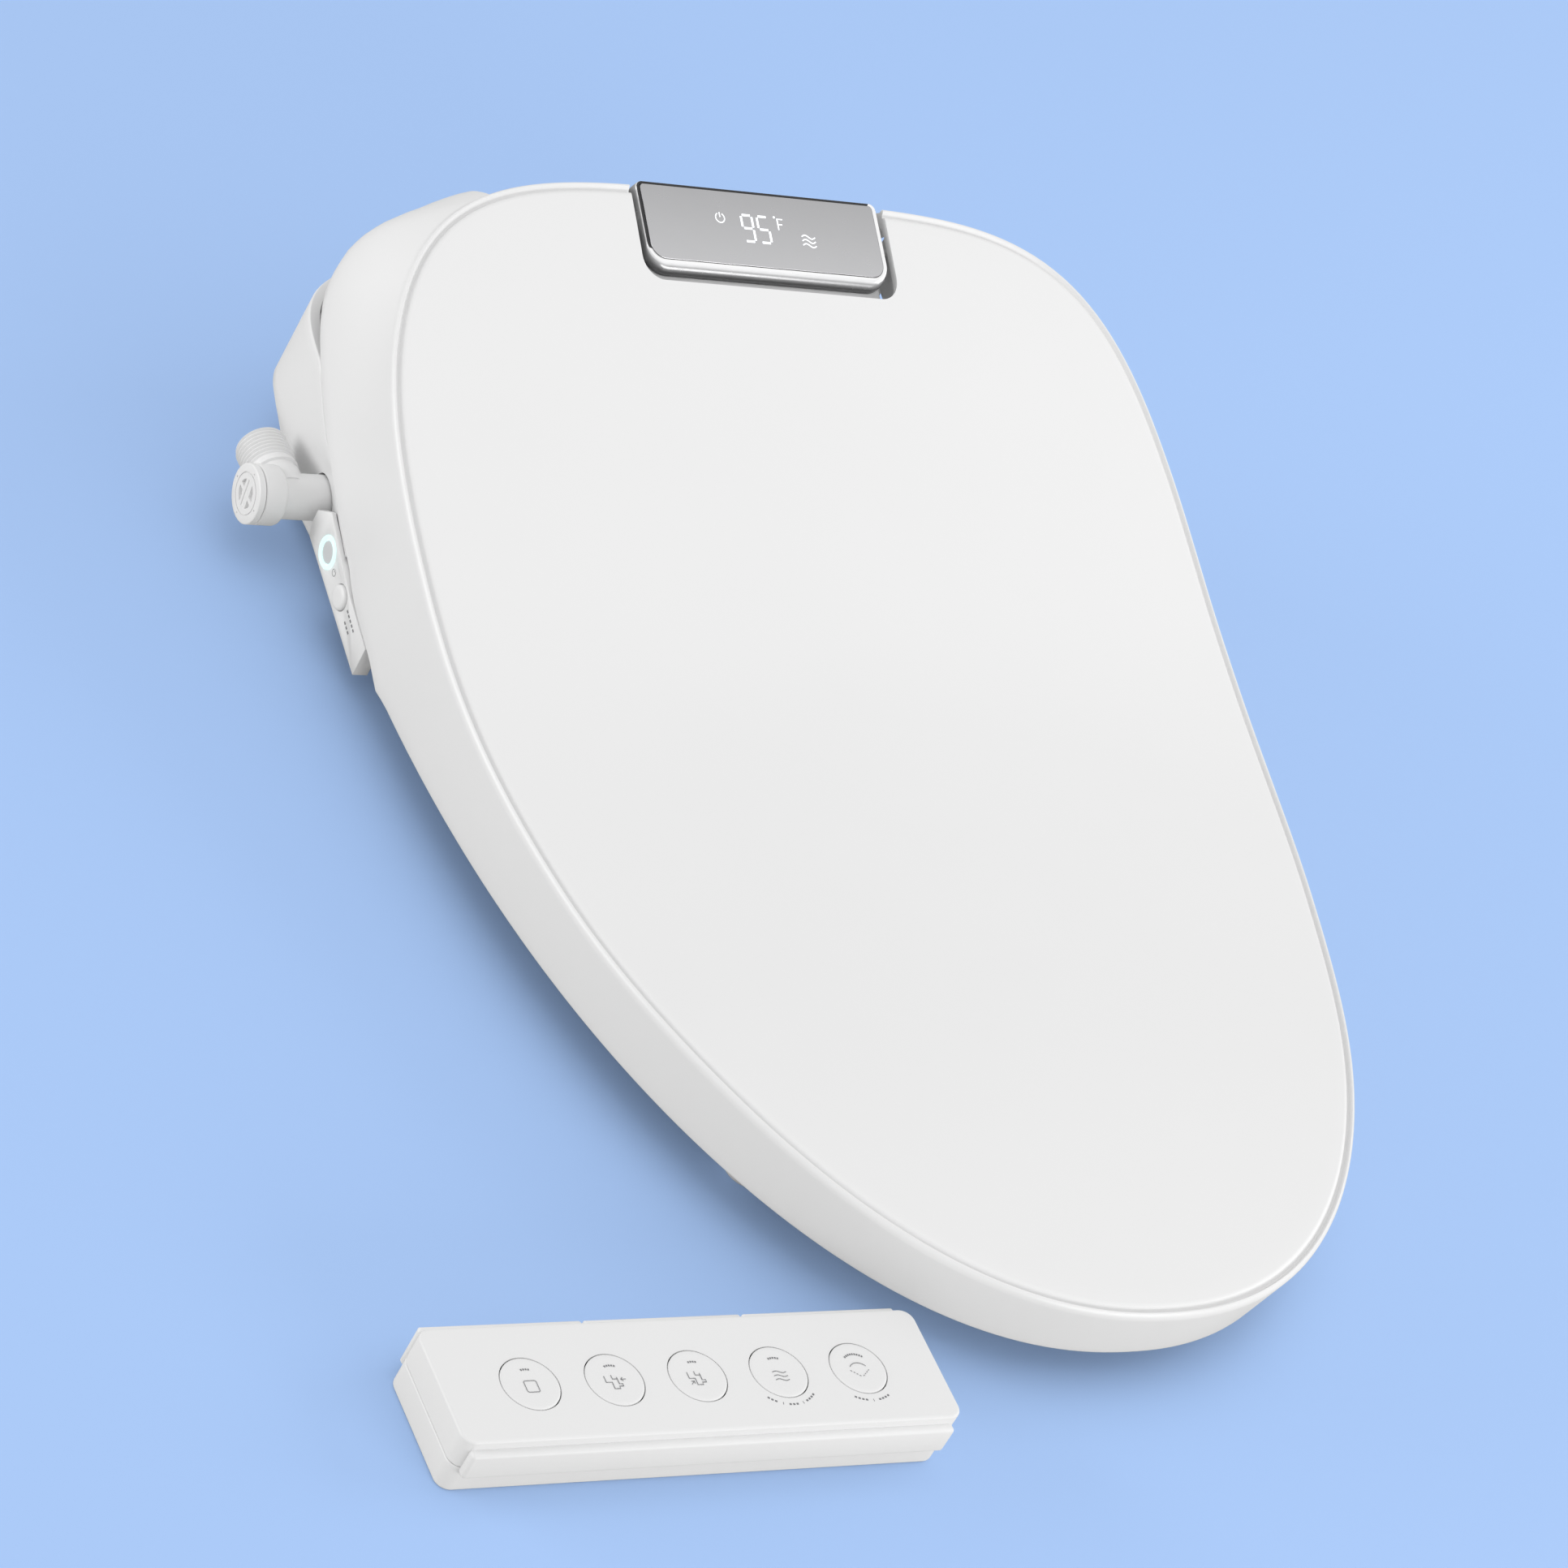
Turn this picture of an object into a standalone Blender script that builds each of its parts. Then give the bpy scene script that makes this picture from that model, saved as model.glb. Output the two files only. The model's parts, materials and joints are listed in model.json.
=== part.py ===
"""Electric bidet seat: wrap-round lid, seat ring, rear water and electronics housing, and remote.

Metres. +Z up, +Y towards the tank, -Y towards the lid's tip. The origin is the midpoint between the
two slots of the mounting plate, on the plate's underside, which lies on the bowl's rim plane (z = 0).
"""
import math

import bmesh
import bpy
import numpy as np
from mathutils import Matrix, Vector

# ---------------------------------------------------------------- driving dimensions
GAP = 0.0003  # clearance between pieces that touch
WALL = 0.0025  # moulded wall of the housings
CENTRE_Y = -0.125  # where the lid is widest

# lid outlines: half width, front length, back length, then the front and back curve exponents
LID_TOP = (0.188, 0.330, 0.170, 2.19, 2.11, 4.47, 3.23)
LID_FOOT = (0.1835, 0.324, 0.187, 2.19, 2.11, 6.0, 10.0)
# height of the lid's edge line along its length, from tip to back (y, z)
LID_EDGE = (
    (-0.455, 0.0443),
    (-0.355, 0.0489),
    (-0.255, 0.0518),
    (-0.155, 0.0645),
    (-0.055, 0.0969),
    (0.045, 0.1445),
)
# height of the seam between the lid's skirt and the housing below it (y, z)
SEAM = (
    (-0.118, 0.016),
    (-0.105, 0.0225),
    (-0.071, 0.0310),
    (-0.023, 0.0508),
    (0.015, 0.0720),
    (0.045, 0.0870),
)
LID_WALL = 0.003
LID_CROWN = 0.003
BEHIND = 0.0900  # a y behind everything, for cutters
REAR_FOOT_Z = 0.100  # lower edge of the lid's rear wall between its corners
RELIEF_X = (0.0765, 0.1240)  # the rear wall is open here, to swing past the hinge posts
RELIEF_Z = (0.090, 0.1392)
RELIEF_ROOF = ((0.0430, 0.1392), (0.0320, 0.1335))  # y, z of its sloping top, below the lid's skin
BULGE = 1.5  # how strongly the side wall rounds out at the back corners
BULGE_Y = (-0.030, 0.030)  # where the bulge starts and is full

HINGE_Y = 0.032
HINGE_Z = 0.126
SHAFT_R = 0.0030
KNUCKLE_R = 0.0072
BORE_R = 0.0034
ARM_SINK = 0.0012  # how far below a shell's outer face an arm's root stops
LID_ARM_X = (0.0640, 0.0750)
SEAT_ARM_X = (0.0780, 0.0920)
PEDESTAL_X = (0.0965, 0.1075)
DAMPER_X = (0.1080, 0.1215)

BASE_Z = 0.0048  # underside of the housing, above the plate and pads
TRAY_TOP = 0.0690
COVER_RIM = 0.0575  # the highest the cover's flange meets the tray
COVER_TOP = 0.0600
BASE_FRONT_Y = -0.062
BASE_OUTLINE = (0.1832, 0.324, 0.206, 2.19, 2.11, 4.3, 8.2)
BASE_WAIST = (0.018, -0.0085)  # how much narrower the housing is 30 mm up, at its sides and its back
BASE_HEM = (0.045, 0.075)  # and at its foot
LIP = 0.0047  # how far the tray's rim reaches in
COVER_INSET = 0.0050
REAR_WALL = (0.0700, 0.0730, 0.104, 0.105)  # y from, y to, top z, half width

TOWER_X = 0.0560
DISPLAY_X = 0.0580
DISPLAY_FRONT = (0.0109, 0.1288)  # y, z of the glass at its front edge
DISPLAY_BACK = (0.0464, 0.1443)
NOTCH_X = 0.0610
NOTCH_Y = 0.0068

VALVE_Y = -0.0225
VALVE_Z = 0.028
STEM_R = 0.0091
CAP_R = 0.0119
PORT_X = -0.1935
PORT_R = 0.0098
THREAD_R = 0.0104775  # G1/2

ARM_FACE_X = -0.1850
ARM_BACK_X = -0.1785
ARM_FRONT_Y = -0.1015
# the panel's face below the seam, from its front foot round by the back (y, z)
ARM_FOOT = ((-0.1015, 0.0089), (-0.0373, 0.0215), (-0.0352, 0.0268), (-0.0352, 0.0330), (-0.0440, 0.0396))
RING = (-0.0528, 0.0271)  # y, z of the light ring and the power button in it
RING_R = 0.0066
WASH = (-0.0730, 0.0224)
WASH_R = 0.0050
OUTSIDE = -0.0120  # a depth well outside the panel's face, for cutters

SEAT_FRONT_INSET = 0.0090
SEAT_REAR_Y = -0.0655
SEAT_Z = (0.0115, 0.0145, 0.0335)  # plate underside, plate top, seat top
SEAT_LIFT = 0.0240
SEAT_ARCH = (math.radians(98), math.radians(117))  # where the arch starts and is full, from the tip
BUMPER_AT = (0.110, -0.345)
FOIL = 0.0008  # thickness
FOIL_END_Y = -0.118  # the foil is a horseshoe that stops short of the arch
SEAT_HOLE = (0.112, 0.235, 0.030, 2.1, 2.1, 3.0, 2.4)

NOZZLE_SLOPE = math.radians(14)
NOZZLE_TIP = (-0.0605, 0.0245)
NOZZLE_X = 0.0115
NOZZLE_R = 0.0048
NOZZLE_LENGTH = 0.100
PINION_Y = -0.035
PINION_R = 0.0058

BOLT_X = 0.0700  # the bowl's bolt holes, from the middle
BOLT_SLOT = (0.0110, 0.0400)  # width and length of the slots for them
BLOWER = (0.064, -0.014, 0.030)  # centre x, y and the housing's top z
REMOTE = (-0.192, -0.456)  # centre x, y; it lies on its back
REMOTE_SIZE = (0.200, 0.0485, 0.025)
REMOTE_PITCH = 0.033
REMOTE_BUTTON_R = 0.0109
STRIP = 0.0032  # how far the rocker strip and the foot strip stand out

# ---------------------------------------------------------------- materials
COLOURS = {
    "white_shell": ((0.86, 0.86, 0.87), 0.28, 0.0),
    "white_satin": ((0.80, 0.80, 0.81), 0.42, 0.0),
    "grey_plastic": ((0.45, 0.46, 0.48), 0.5, 0.0),
    "dark_plastic": ((0.05, 0.05, 0.055), 0.45, 0.0),
    "display_silver": ((0.50, 0.51, 0.52), 0.12, 0.3),
    "chrome_trim": ((0.80, 0.81, 0.83), 0.08, 1.0),
    "ring_lens": ((0.55, 0.95, 0.95), 0.2, 0.0),
    "steel": ((0.62, 0.63, 0.65), 0.25, 1.0),
    "rubber": ((0.75, 0.75, 0.76), 0.75, 0.0),
    "circuit_green": ((0.03, 0.20, 0.09), 0.5, 0.0),
    "copper_foil": ((0.72, 0.45, 0.25), 0.4, 1.0),
    "carbon": ((0.02, 0.02, 0.02), 0.95, 0.0),
    "cell_label": ((0.15, 0.16, 0.18), 0.35, 0.4),
}


def material(name):
    """The material of this name, made on first use."""
    found = bpy.data.materials.get(name)
    if found:
        return found
    colour, roughness, metallic = COLOURS[name]
    made = bpy.data.materials.new(name)
    made.use_nodes = True
    shader = made.node_tree.nodes["Principled BSDF"]
    shader.inputs["Base Color"].default_value = (*colour, 1.0)
    shader.inputs["Roughness"].default_value = roughness
    shader.inputs["Metallic"].default_value = metallic
    return made


# ---------------------------------------------------------------- mesh helpers
def from_faces(name, points, faces, slot):
    """A new object from points and faces, with its faces turned outwards."""
    mesh = bpy.data.meshes.new(name)
    mesh.from_pydata([tuple(p) for p in points], [], faces)
    return finish(name, mesh, slot)


def finish(name, mesh, slot, smooth=True):
    """Turn the faces outwards, shade round pieces smooth and give the mesh its object."""
    work = bmesh.new()
    work.from_mesh(mesh)
    bmesh.ops.recalc_face_normals(work, faces=work.faces)
    work.to_mesh(mesh)
    work.free()
    if smooth:
        mesh.shade_smooth()
        mesh.set_sharp_from_angle(angle=math.radians(35))
    piece = bpy.data.objects.new(name, mesh)
    bpy.context.scene.collection.objects.link(piece)
    if slot:
        mesh.materials.append(material(slot))
    return piece


def loft(name, rings, slot, closed=False):
    """Skin a list of rings of equal length; closed joins the last ring to the first, else both are capped."""
    count = len(rings[0])
    points = [p for ring in rings for p in ring]
    faces = []
    steps = len(rings) if closed else len(rings) - 1
    for k in range(steps):
        low = k * count
        high = ((k + 1) % len(rings)) * count
        for i in range(count):
            j = (i + 1) % count
            faces.append((low + i, low + j, high + j, high + i))
    if not closed:
        faces.append(tuple(reversed(range(count))))
        faces.append(tuple(range(len(points) - count, len(points))))
    return from_faces(name, points, faces, slot)


def prism(name, outline, low, high, slot, axis="Z"):
    """Extrude a flat outline along an axis. The outline is (y, z) for X, (x, z) for Y and (x, y) for Z."""
    place = {
        "X": lambda a, b, c: (c, a, b),
        "Y": lambda a, b, c: (a, c, b),
        "Z": lambda a, b, c: (a, b, c),
    }[axis]
    return loft(name, [[place(a, b, c) for a, b in outline] for c in (low, high)], slot)


def box(name, low, high, slot, bevel=0.0):
    """A box between two corners, its edges bevelled where asked."""
    (x0, y0, z0), (x1, y1, z1) = low, high
    piece = prism(name, [(x0, y0), (x1, y0), (x1, y1), (x0, y1)], z0, z1, slot)
    if bevel:
        soften(piece, bevel)
    return piece


def soften(piece, width, segments=2):
    """Bevel the sharp edges of a piece."""
    edge = piece.modifiers.new("edges", "BEVEL")
    edge.width = width
    edge.segments = segments
    edge.limit_method = "ANGLE"
    edge.angle_limit = math.radians(50)
    edge.harden_normals = False


def tube(name, start, end, radius, slot, sides=24, end_radius=None):
    """A round bar, or a cone where its end radius differs, between two points."""
    a, b = Vector(start), Vector(end)
    along = b - a
    work = bmesh.new()
    place = Matrix.Translation((a + b) / 2) @ along.to_track_quat("Z", "Y").to_matrix().to_4x4()
    bmesh.ops.create_cone(
        work,
        cap_ends=True,
        segments=sides,
        radius1=radius,
        radius2=radius if end_radius is None else end_radius,
        depth=along.length,
        matrix=place,
    )
    mesh = bpy.data.meshes.new(name)
    work.to_mesh(mesh)
    work.free()
    return finish(name, mesh, slot)


def combine(piece, other, operation):
    """Cut or join another object into a piece, and keep that object as a hidden guide."""
    step = piece.modifiers.new(operation.lower(), "BOOLEAN")
    step.operation = operation
    step.object = other
    step.solver = "EXACT"
    other.hide_render = True
    other.display_type = "WIRE"


def cut(piece, *others):
    for other in others:
        combine(piece, other, "DIFFERENCE")


def join(piece, *others):
    for other in others:
        combine(piece, other, "UNION")


def along_x(x0, x1, y, z, radius, name, slot=None, sides=24):
    """A round bar along X."""
    return tube(name, (x0, y, z), (x1, y, z), radius, slot, sides)


def rounded(x0, x1, y0, y1, radius, steps=5):
    """A rectangle with round corners, as (x, y) points."""
    left, right, low, high = x0 + radius, x1 - radius, y0 + radius, y1 - radius
    centres = ((right, high), (left, high), (left, low), (right, low))
    points = []
    for quarter, (cx, cy) in enumerate(centres):
        for k in range(steps + 1):
            turn = math.pi / 2 * (quarter + k / steps)
            points.append((cx + radius * math.cos(turn), cy + radius * math.sin(turn)))
    return points


def pivot(name, place):
    """An empty on a joint's axis, which the moving pieces hang from."""
    holder = bpy.data.objects.new(name, None)
    holder.location = place
    bpy.context.scene.collection.objects.link(holder)
    return holder


def hang(holder, *pieces):
    """Parent pieces to an empty without moving them."""
    for piece in pieces:
        piece.parent = holder
        piece.matrix_parent_inverse = Matrix.Translation(-holder.location)


# ---------------------------------------------------------------- outlines and heights
def curve_through(knots, at):
    """A smooth curve through (y, z) knots, held level past both ends."""
    ys = [k[0] for k in knots]
    zs = [k[1] for k in knots]
    if at <= ys[0]:
        return zs[0]
    if at >= ys[-1]:
        return zs[-1]
    k = max(i for i in range(len(ys) - 1) if ys[i] <= at)
    slopes = []
    for i in (k, k + 1):
        if 0 < i < len(ys) - 1:
            slopes.append((zs[i + 1] - zs[i - 1]) / (ys[i + 1] - ys[i - 1]))
        else:
            other = min(max(i, 1), len(ys) - 1)
            slopes.append((zs[other] - zs[other - 1]) / (ys[other] - ys[other - 1]))
    width = ys[k + 1] - ys[k]
    t = (at - ys[k]) / width
    return (
        (2 * t**3 - 3 * t**2 + 1) * zs[k]
        + (t**3 - 2 * t**2 + t) * width * slopes[0]
        + (3 * t**2 - 2 * t**3) * zs[k + 1]
        + (t**3 - t**2) * width * slopes[1]
    )


def egg(shape, inset=0.0, count=400):
    """A closed egg outline as two arrays, from the tip round by +X, moved inwards by the inset."""
    half, front, back, p, q, m, k = shape
    turn = np.linspace(0.0, math.pi / 2, count)
    c, s = np.cos(turn), np.sin(turn)
    c[-1] = 0.0
    s[0] = 0.0
    front_x, front_y = half * c ** (2 / p), CENTRE_Y - front * s ** (2 / q)
    back_x, back_y = half * c ** (2 / m), CENTRE_Y + back * s ** (2 / k)
    x = np.concatenate([front_x[::-1], back_x[1:]])
    y = np.concatenate([front_y[::-1], back_y[1:]])
    x = np.concatenate([x, -x[-2:0:-1]])
    y = np.concatenate([y, y[-2:0:-1]])
    if inset:
        dx = np.roll(x, -1) - np.roll(x, 1)
        dy = np.roll(y, -1) - np.roll(y, 1)
        length = np.hypot(dx, dy)
        x = x - inset * dy / length
        y = y + inset * dx / length
    return x, y


def spaced(shape, count):
    """Directions from the outline's centre to points evenly spaced along it, from the tip round."""
    x, y = egg(shape)
    step = np.hypot(np.roll(x, -1) - x, np.roll(y, -1) - y)
    travel = np.concatenate([[0.0], np.cumsum(step)])
    angle = np.unwrap(np.arctan2(x, CENTRE_Y - y))
    angle = np.concatenate([angle, [angle[0] + 2 * math.pi]])
    return np.interp(np.linspace(0, travel[-1], count, endpoint=False), travel, angle)


def outline(shape, angles, inset=0.0):
    """Points of an egg outline at given directions, as (x, y) pairs."""
    x, y = egg(shape, inset)
    reach = np.hypot(x, y - CENTRE_Y)
    angle = np.unwrap(np.arctan2(x, CENTRE_Y - y))
    angle = np.concatenate([angle - 2 * math.pi, angle, angle + 2 * math.pi])
    reach = np.concatenate([reach, reach, reach])
    found = np.interp(angles, angle, reach)
    return [(r * math.sin(a), CENTRE_Y - r * math.cos(a)) for a, r in zip(angles, found)]


LID_ANGLES = spaced(LID_TOP, 68)


def edge_height(y):
    return curve_through(LID_EDGE, y)


def foot_height(x, y):
    """Lower edge of the lid's skirt: low in front, up along the seam, high across the back."""
    side = curve_through(SEAM, y)
    if y <= SEAM[-1][0]:
        return side
    inner = min(max((0.150 - abs(x)) / 0.020, 0.0), 1.0)
    return side + (REAR_FOOT_Z - side) * inner


def top_height(x, y, part):
    """The lid's upper surface; part runs from 0 at its centre to 1 at its edge."""
    return edge_height(y) + LID_CROWN * (1 - part**2)


# ---------------------------------------------------------------- lid
def top_ring(part, drop=0.0, inset=0.0):
    ring = []
    for x, y in outline(LID_TOP, LID_ANGLES, inset):
        px, py = x * part, CENTRE_Y + (y - CENTRE_Y) * part
        ring.append((px, py, top_height(px, py, part) - drop))
    return ring


def foot_ring(inset=0.0):
    return [(x, y, foot_height(x, y)) for x, y in outline(LID_FOOT, LID_ANGLES, inset)]


def wall_ring(share, top, foot):
    """A ring of the side wall a share of the way down; it rounds out at the back corners."""
    ring = []
    start, full = BULGE_Y
    for (x0, y0, z0), (x1, y1, z1) in zip(top, foot):
        back = min(max((y1 - start) / (full - start), 0.0), 1.0)
        out = 1 - (1 - share) ** (1 + BULGE * back)
        ring.append((x0 + (x1 - x0) * out, y0 + (y1 - y0) * out, z0 + (z1 - z0) * share))
    return ring


def lid():
    parts = (0.94, 0.78, 0.55, 0.30, 0.10)
    outer = top_ring(1.0)
    foot = foot_ring()
    inner_top = top_ring(1.0, LID_WALL + 0.0005, LID_WALL)
    inner_foot = foot_ring(LID_WALL)
    rings = [top_ring(p) for p in reversed(parts)]
    rings += [top_ring(0.99)]
    rings += [wall_ring(share, outer, foot) for share in (0.10, 0.30, 0.60)]
    rings += [foot, inner_foot]
    rings += [wall_ring(share, inner_top, inner_foot) for share in (0.60, 0.30, 0.10)]
    rings += [inner_top]
    rings += [top_ring(p, LID_WALL + 0.0005) for p in parts]
    shell = loft("lid_shell", rings, "white_shell")
    notch = prism("notch_cutter", rounded(-NOTCH_X, NOTCH_X, NOTCH_Y, 0.12, 0.009), 0.07, 0.17, None)
    cut(shell, notch)
    for side, name in ((-1, "left"), (1, "right")):
        r0, r1 = sorted(side * x for x in RELIEF_X)
        relief = [(HINGE_Y, RELIEF_Z[0]), (BEHIND, RELIEF_Z[0]), (BEHIND, RELIEF_Z[1]), *RELIEF_ROOF]
        cut(shell, prism(f"hinge_relief_cutter_{name}", relief, r0, r1, None, "X"))
        x0, x1 = sorted(side * x for x in LID_ARM_X)
        arm_outline = [
            (HINGE_Y - 0.030, edge_height(HINGE_Y - 0.030) - ARM_SINK),
            (HINGE_Y - 0.030, HINGE_Z - 0.0140),
            (HINGE_Y - 0.010, HINGE_Z - 0.0100),
        ]
        arm_outline += [
            (HINGE_Y + KNUCKLE_R * math.sin(t), HINGE_Z - KNUCKLE_R * math.cos(t))
            for t in np.radians([0, 30, 60, 90, 110])
        ]
        arm_outline.append((HINGE_Y + KNUCKLE_R * 0.8, edge_height(HINGE_Y + KNUCKLE_R * 0.8) - ARM_SINK))
        join(shell, prism(f"lid_arm_guide_{name}", arm_outline, x0, x1, None, "X"))
        cut(shell, along_x(x0 - 0.01, x1 + 0.001, HINGE_Y, HINGE_Z, BORE_R, f"lid_bore_cutter_{name}"))
    return [shell]


# ---------------------------------------------------------------- seat ring
def seat_outline(inset):
    """The ring's outer edge: the skirt's outline moved in, cut off square at the back."""
    points = []
    for x, y in outline(LID_FOOT, LID_ANGLES, SEAT_FRONT_INSET + inset):
        rear = SEAT_REAR_Y - inset
        if y > rear:
            x, y = x * (rear - CENTRE_Y) / (y - CENTRE_Y), rear
        points.append((x, y))
    return points


def square_back(points, rear):
    """Push the points that were cut off at the back out to a squarer corner."""
    limit = max(abs(x) for x, _ in points) - 0.008
    moved = []
    for x, y in points:
        if y >= rear - 1e-6:
            x = x * min(1.0, limit / max(abs(x), 1e-6)) if abs(x) > limit else x
        moved.append((x, y))
    return moved


def seat_lift(angle):
    """The ring's back arches up by this much, over the nozzles and the dryer outlet."""
    start, full = SEAT_ARCH
    from_back = math.pi - abs(angle - math.pi)
    t = min(max((from_back - start) / (full - start), 0.0), 1.0)
    return SEAT_LIFT * t * t * (3 - 2 * t)


def seat_ring(inset, z):
    points = square_back(seat_outline(inset), SEAT_REAR_Y - inset)
    return [(x, y, z + seat_lift(a)) for (x, y), a in zip(points, LID_ANGLES)]


def hole_ring(inset, z):
    return [(x, y, z + seat_lift(a)) for (x, y), a in zip(outline(SEAT_HOLE, LID_ANGLES, inset), LID_ANGLES)]


def seat():
    plate_low, plate_top, top = SEAT_Z
    shell_low = plate_top + GAP
    wall = WALL
    upper = loft(
        "seat_upper_shell",
        [
            seat_ring(0.0, shell_low),
            seat_ring(0.0, top - 0.006),
            seat_ring(0.006, top),
            hole_ring(-0.020, top),
            hole_ring(-0.004, top - 0.005),
            hole_ring(0.0, shell_low),
            hole_ring(-wall, shell_low),
            hole_ring(-0.004 - wall, top - 0.006 - wall / 2),
            hole_ring(-0.020, top - wall),
            seat_ring(0.007, top - wall),
            seat_ring(wall, top - 0.007),
            seat_ring(wall, shell_low),
        ],
        "white_satin",
        closed=True,
    )
    plate = loft(
        "seat_lower_plate",
        [
            seat_ring(0.0, plate_low),
            seat_ring(0.0, plate_top),
            seat_ring(wall, plate_top),
            hole_ring(-wall, plate_top),
            hole_ring(0.0, plate_top),
            hole_ring(0.0, plate_low),
        ],
        "white_satin",
        closed=True,
    )
    foil_top = top - wall - GAP
    foil_outer, foil_inner = seat_outline(0.012), outline(SEAT_HOLE, LID_ANGLES, -0.024)
    foil_edges = ((foil_outer, FOIL), (foil_outer, 0.0), (foil_inner, 0.0), (foil_inner, FOIL))
    foil = loft(
        "seat_heater_foil",
        [[(x, y, foil_top - drop) for x, y in edge] for edge, drop in foil_edges],
        "copper_foil",
        closed=True,
    )
    cut(foil, box("foil_end_cutter", (-0.2, FOIL_END_Y, 0.0), (0.2, 0.0, 0.06), None))
    pieces = [upper, plate, foil]
    for side, name in ((-1, "left"), (1, "right")):
        x, y = side * BUMPER_AT[0], BUMPER_AT[1]
        top_end = (x, y, plate_low - GAP)
        pieces.append(tube(f"seat_bumper_{name}", (x, y, 0.0), top_end, 0.010, "rubber", 20, 0.0085))
    for side, name in ((-1, "left"), (1, "right")):
        x0, x1 = sorted(side * x for x in SEAT_ARM_X)
        low = top + SEAT_LIFT - ARM_SINK
        arm_outline = [
            (-0.090, low),
            (-0.073, low),
            (-0.062, 0.0640),
            (-0.020, 0.0850),
            (HINGE_Y - 0.006, HINGE_Z - 0.0100),
        ]
        arm_outline += [
            (HINGE_Y + KNUCKLE_R * math.sin(t), HINGE_Z - KNUCKLE_R * math.cos(t))
            for t in np.radians([0, 30, 60, 90, 120, 150, 180])
        ]
        arm_outline += [(-0.020, 0.1000), (-0.066, 0.0790), (-0.084, 0.0660)]
        join(upper, prism(f"seat_arm_guide_{name}", arm_outline, x0, x1, None, "X"))
        cut(upper, along_x(x0 - 0.01, x1 + 0.01, HINGE_Y, HINGE_Z, BORE_R, f"seat_bore_cutter_{name}"))
    return pieces


# ---------------------------------------------------------------- rear housing
def base_outline(inset, narrow=(0.0, 0.0)):
    """The housing's outline, cut off square in front and narrowed by a share at its sides and its back."""
    points = []
    front = BASE_FRONT_Y + inset
    side, rear = narrow
    for x, y in outline(BASE_OUTLINE, BASE_ANGLES, inset):
        if y < front:
            continue
        back = min(max(y / 0.050, 0.0), 1.0)
        points.append((x * (1 - side - (rear - side) * back), y))
    edge_x = max(abs(x) for x, _ in points)
    return [(edge_x, front)] + points + [(-edge_x, front)]


def rear_angles():
    """Directions whose rays stay clear of the square front for every inset used."""
    angles = spaced(BASE_OUTLINE, 120)
    x, y = np.array(outline(BASE_OUTLINE, angles)).T
    return np.array([a for a, at in zip(angles, y) if at > BASE_FRONT_Y + 0.006])


BASE_ANGLES = rear_angles()


def base_ring(inset, z, narrow=(0.0, 0.0)):
    """A ring of the housing; z is a height, or a function of y."""
    return [(x, y, z(y) if callable(z) else z) for x, y in base_outline(inset, narrow)]


def waist_height(y):
    return min(0.030, tray_rim(y) - 0.004)


def tray_rim(y):
    """The visible rim follows the lid's seam in front of the hinge and is level behind it."""
    return min(TRAY_TOP, curve_through(SEAM, y) - 0.0006)


def wall_height(share):
    """The height a share of the way up from the waist to the rim, as a function of y."""
    return lambda y: waist_height(y) + (tray_rim(y) - waist_height(y)) * share


def wall_rings(inset):
    """The housing's outer wall from its hem by its waist to its rim."""
    side, rear = BASE_WAIST
    rings = [base_ring(inset, BASE_Z + 0.005, BASE_HEM)]
    for share in (0.0, 0.33, 0.67, 1.0):
        rings.append(base_ring(inset, wall_height(share), (side * (1 - share), rear * (1 - share))))
    return rings


def tray():
    floor = BASE_Z + WALL
    rings = [
        base_ring(0.004, BASE_Z, BASE_HEM),
        *wall_rings(0.0),
        base_ring(LIP, tray_rim),
        base_ring(LIP, lambda y: tray_rim(y) - 0.0012),
        base_ring(WALL, lambda y: tray_rim(y) - 0.0030),
        base_ring(WALL, waist_height, BASE_WAIST),
        base_ring(WALL, floor + 0.004, BASE_HEM),
        base_ring(WALL + 0.003, floor, BASE_HEM),
    ]
    shell = loft("base_tray", rings, "white_shell")
    stem_hole = along_x(-0.20, -0.15, VALVE_Y, VALVE_Z, STEM_R + 0.0008, "stem_hole_cutter")
    window = box("nozzle_window_cutter", (-0.030, -0.08, 0.0125), (0.030, -0.05, 0.0355), None)
    outlet = box("dryer_window_cutter", (0.045, -0.08, 0.0115), (0.083, -0.05, 0.0305), None)
    drawer = box("drawer_window_cutter", (0.14, 0.0005, 0.0092), (0.20, 0.0365, 0.0358), None)
    release = box("release_window_cutter", (0.14, -0.052, 0.0195), (0.20, -0.032, 0.0305), None)
    gland = tube("gland_hole_cutter", (0.100, 0.06, 0.020), (0.100, 0.10, 0.020), 0.0052, None)
    cut(shell, stem_hole, window, outlet, drawer, release, gland)
    return shell


def flange_foot(y):
    """The cover's side flange reaches a little below the tray's rim, inside it."""
    return min(tray_rim(y), COVER_RIM) - 0.0040


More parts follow.
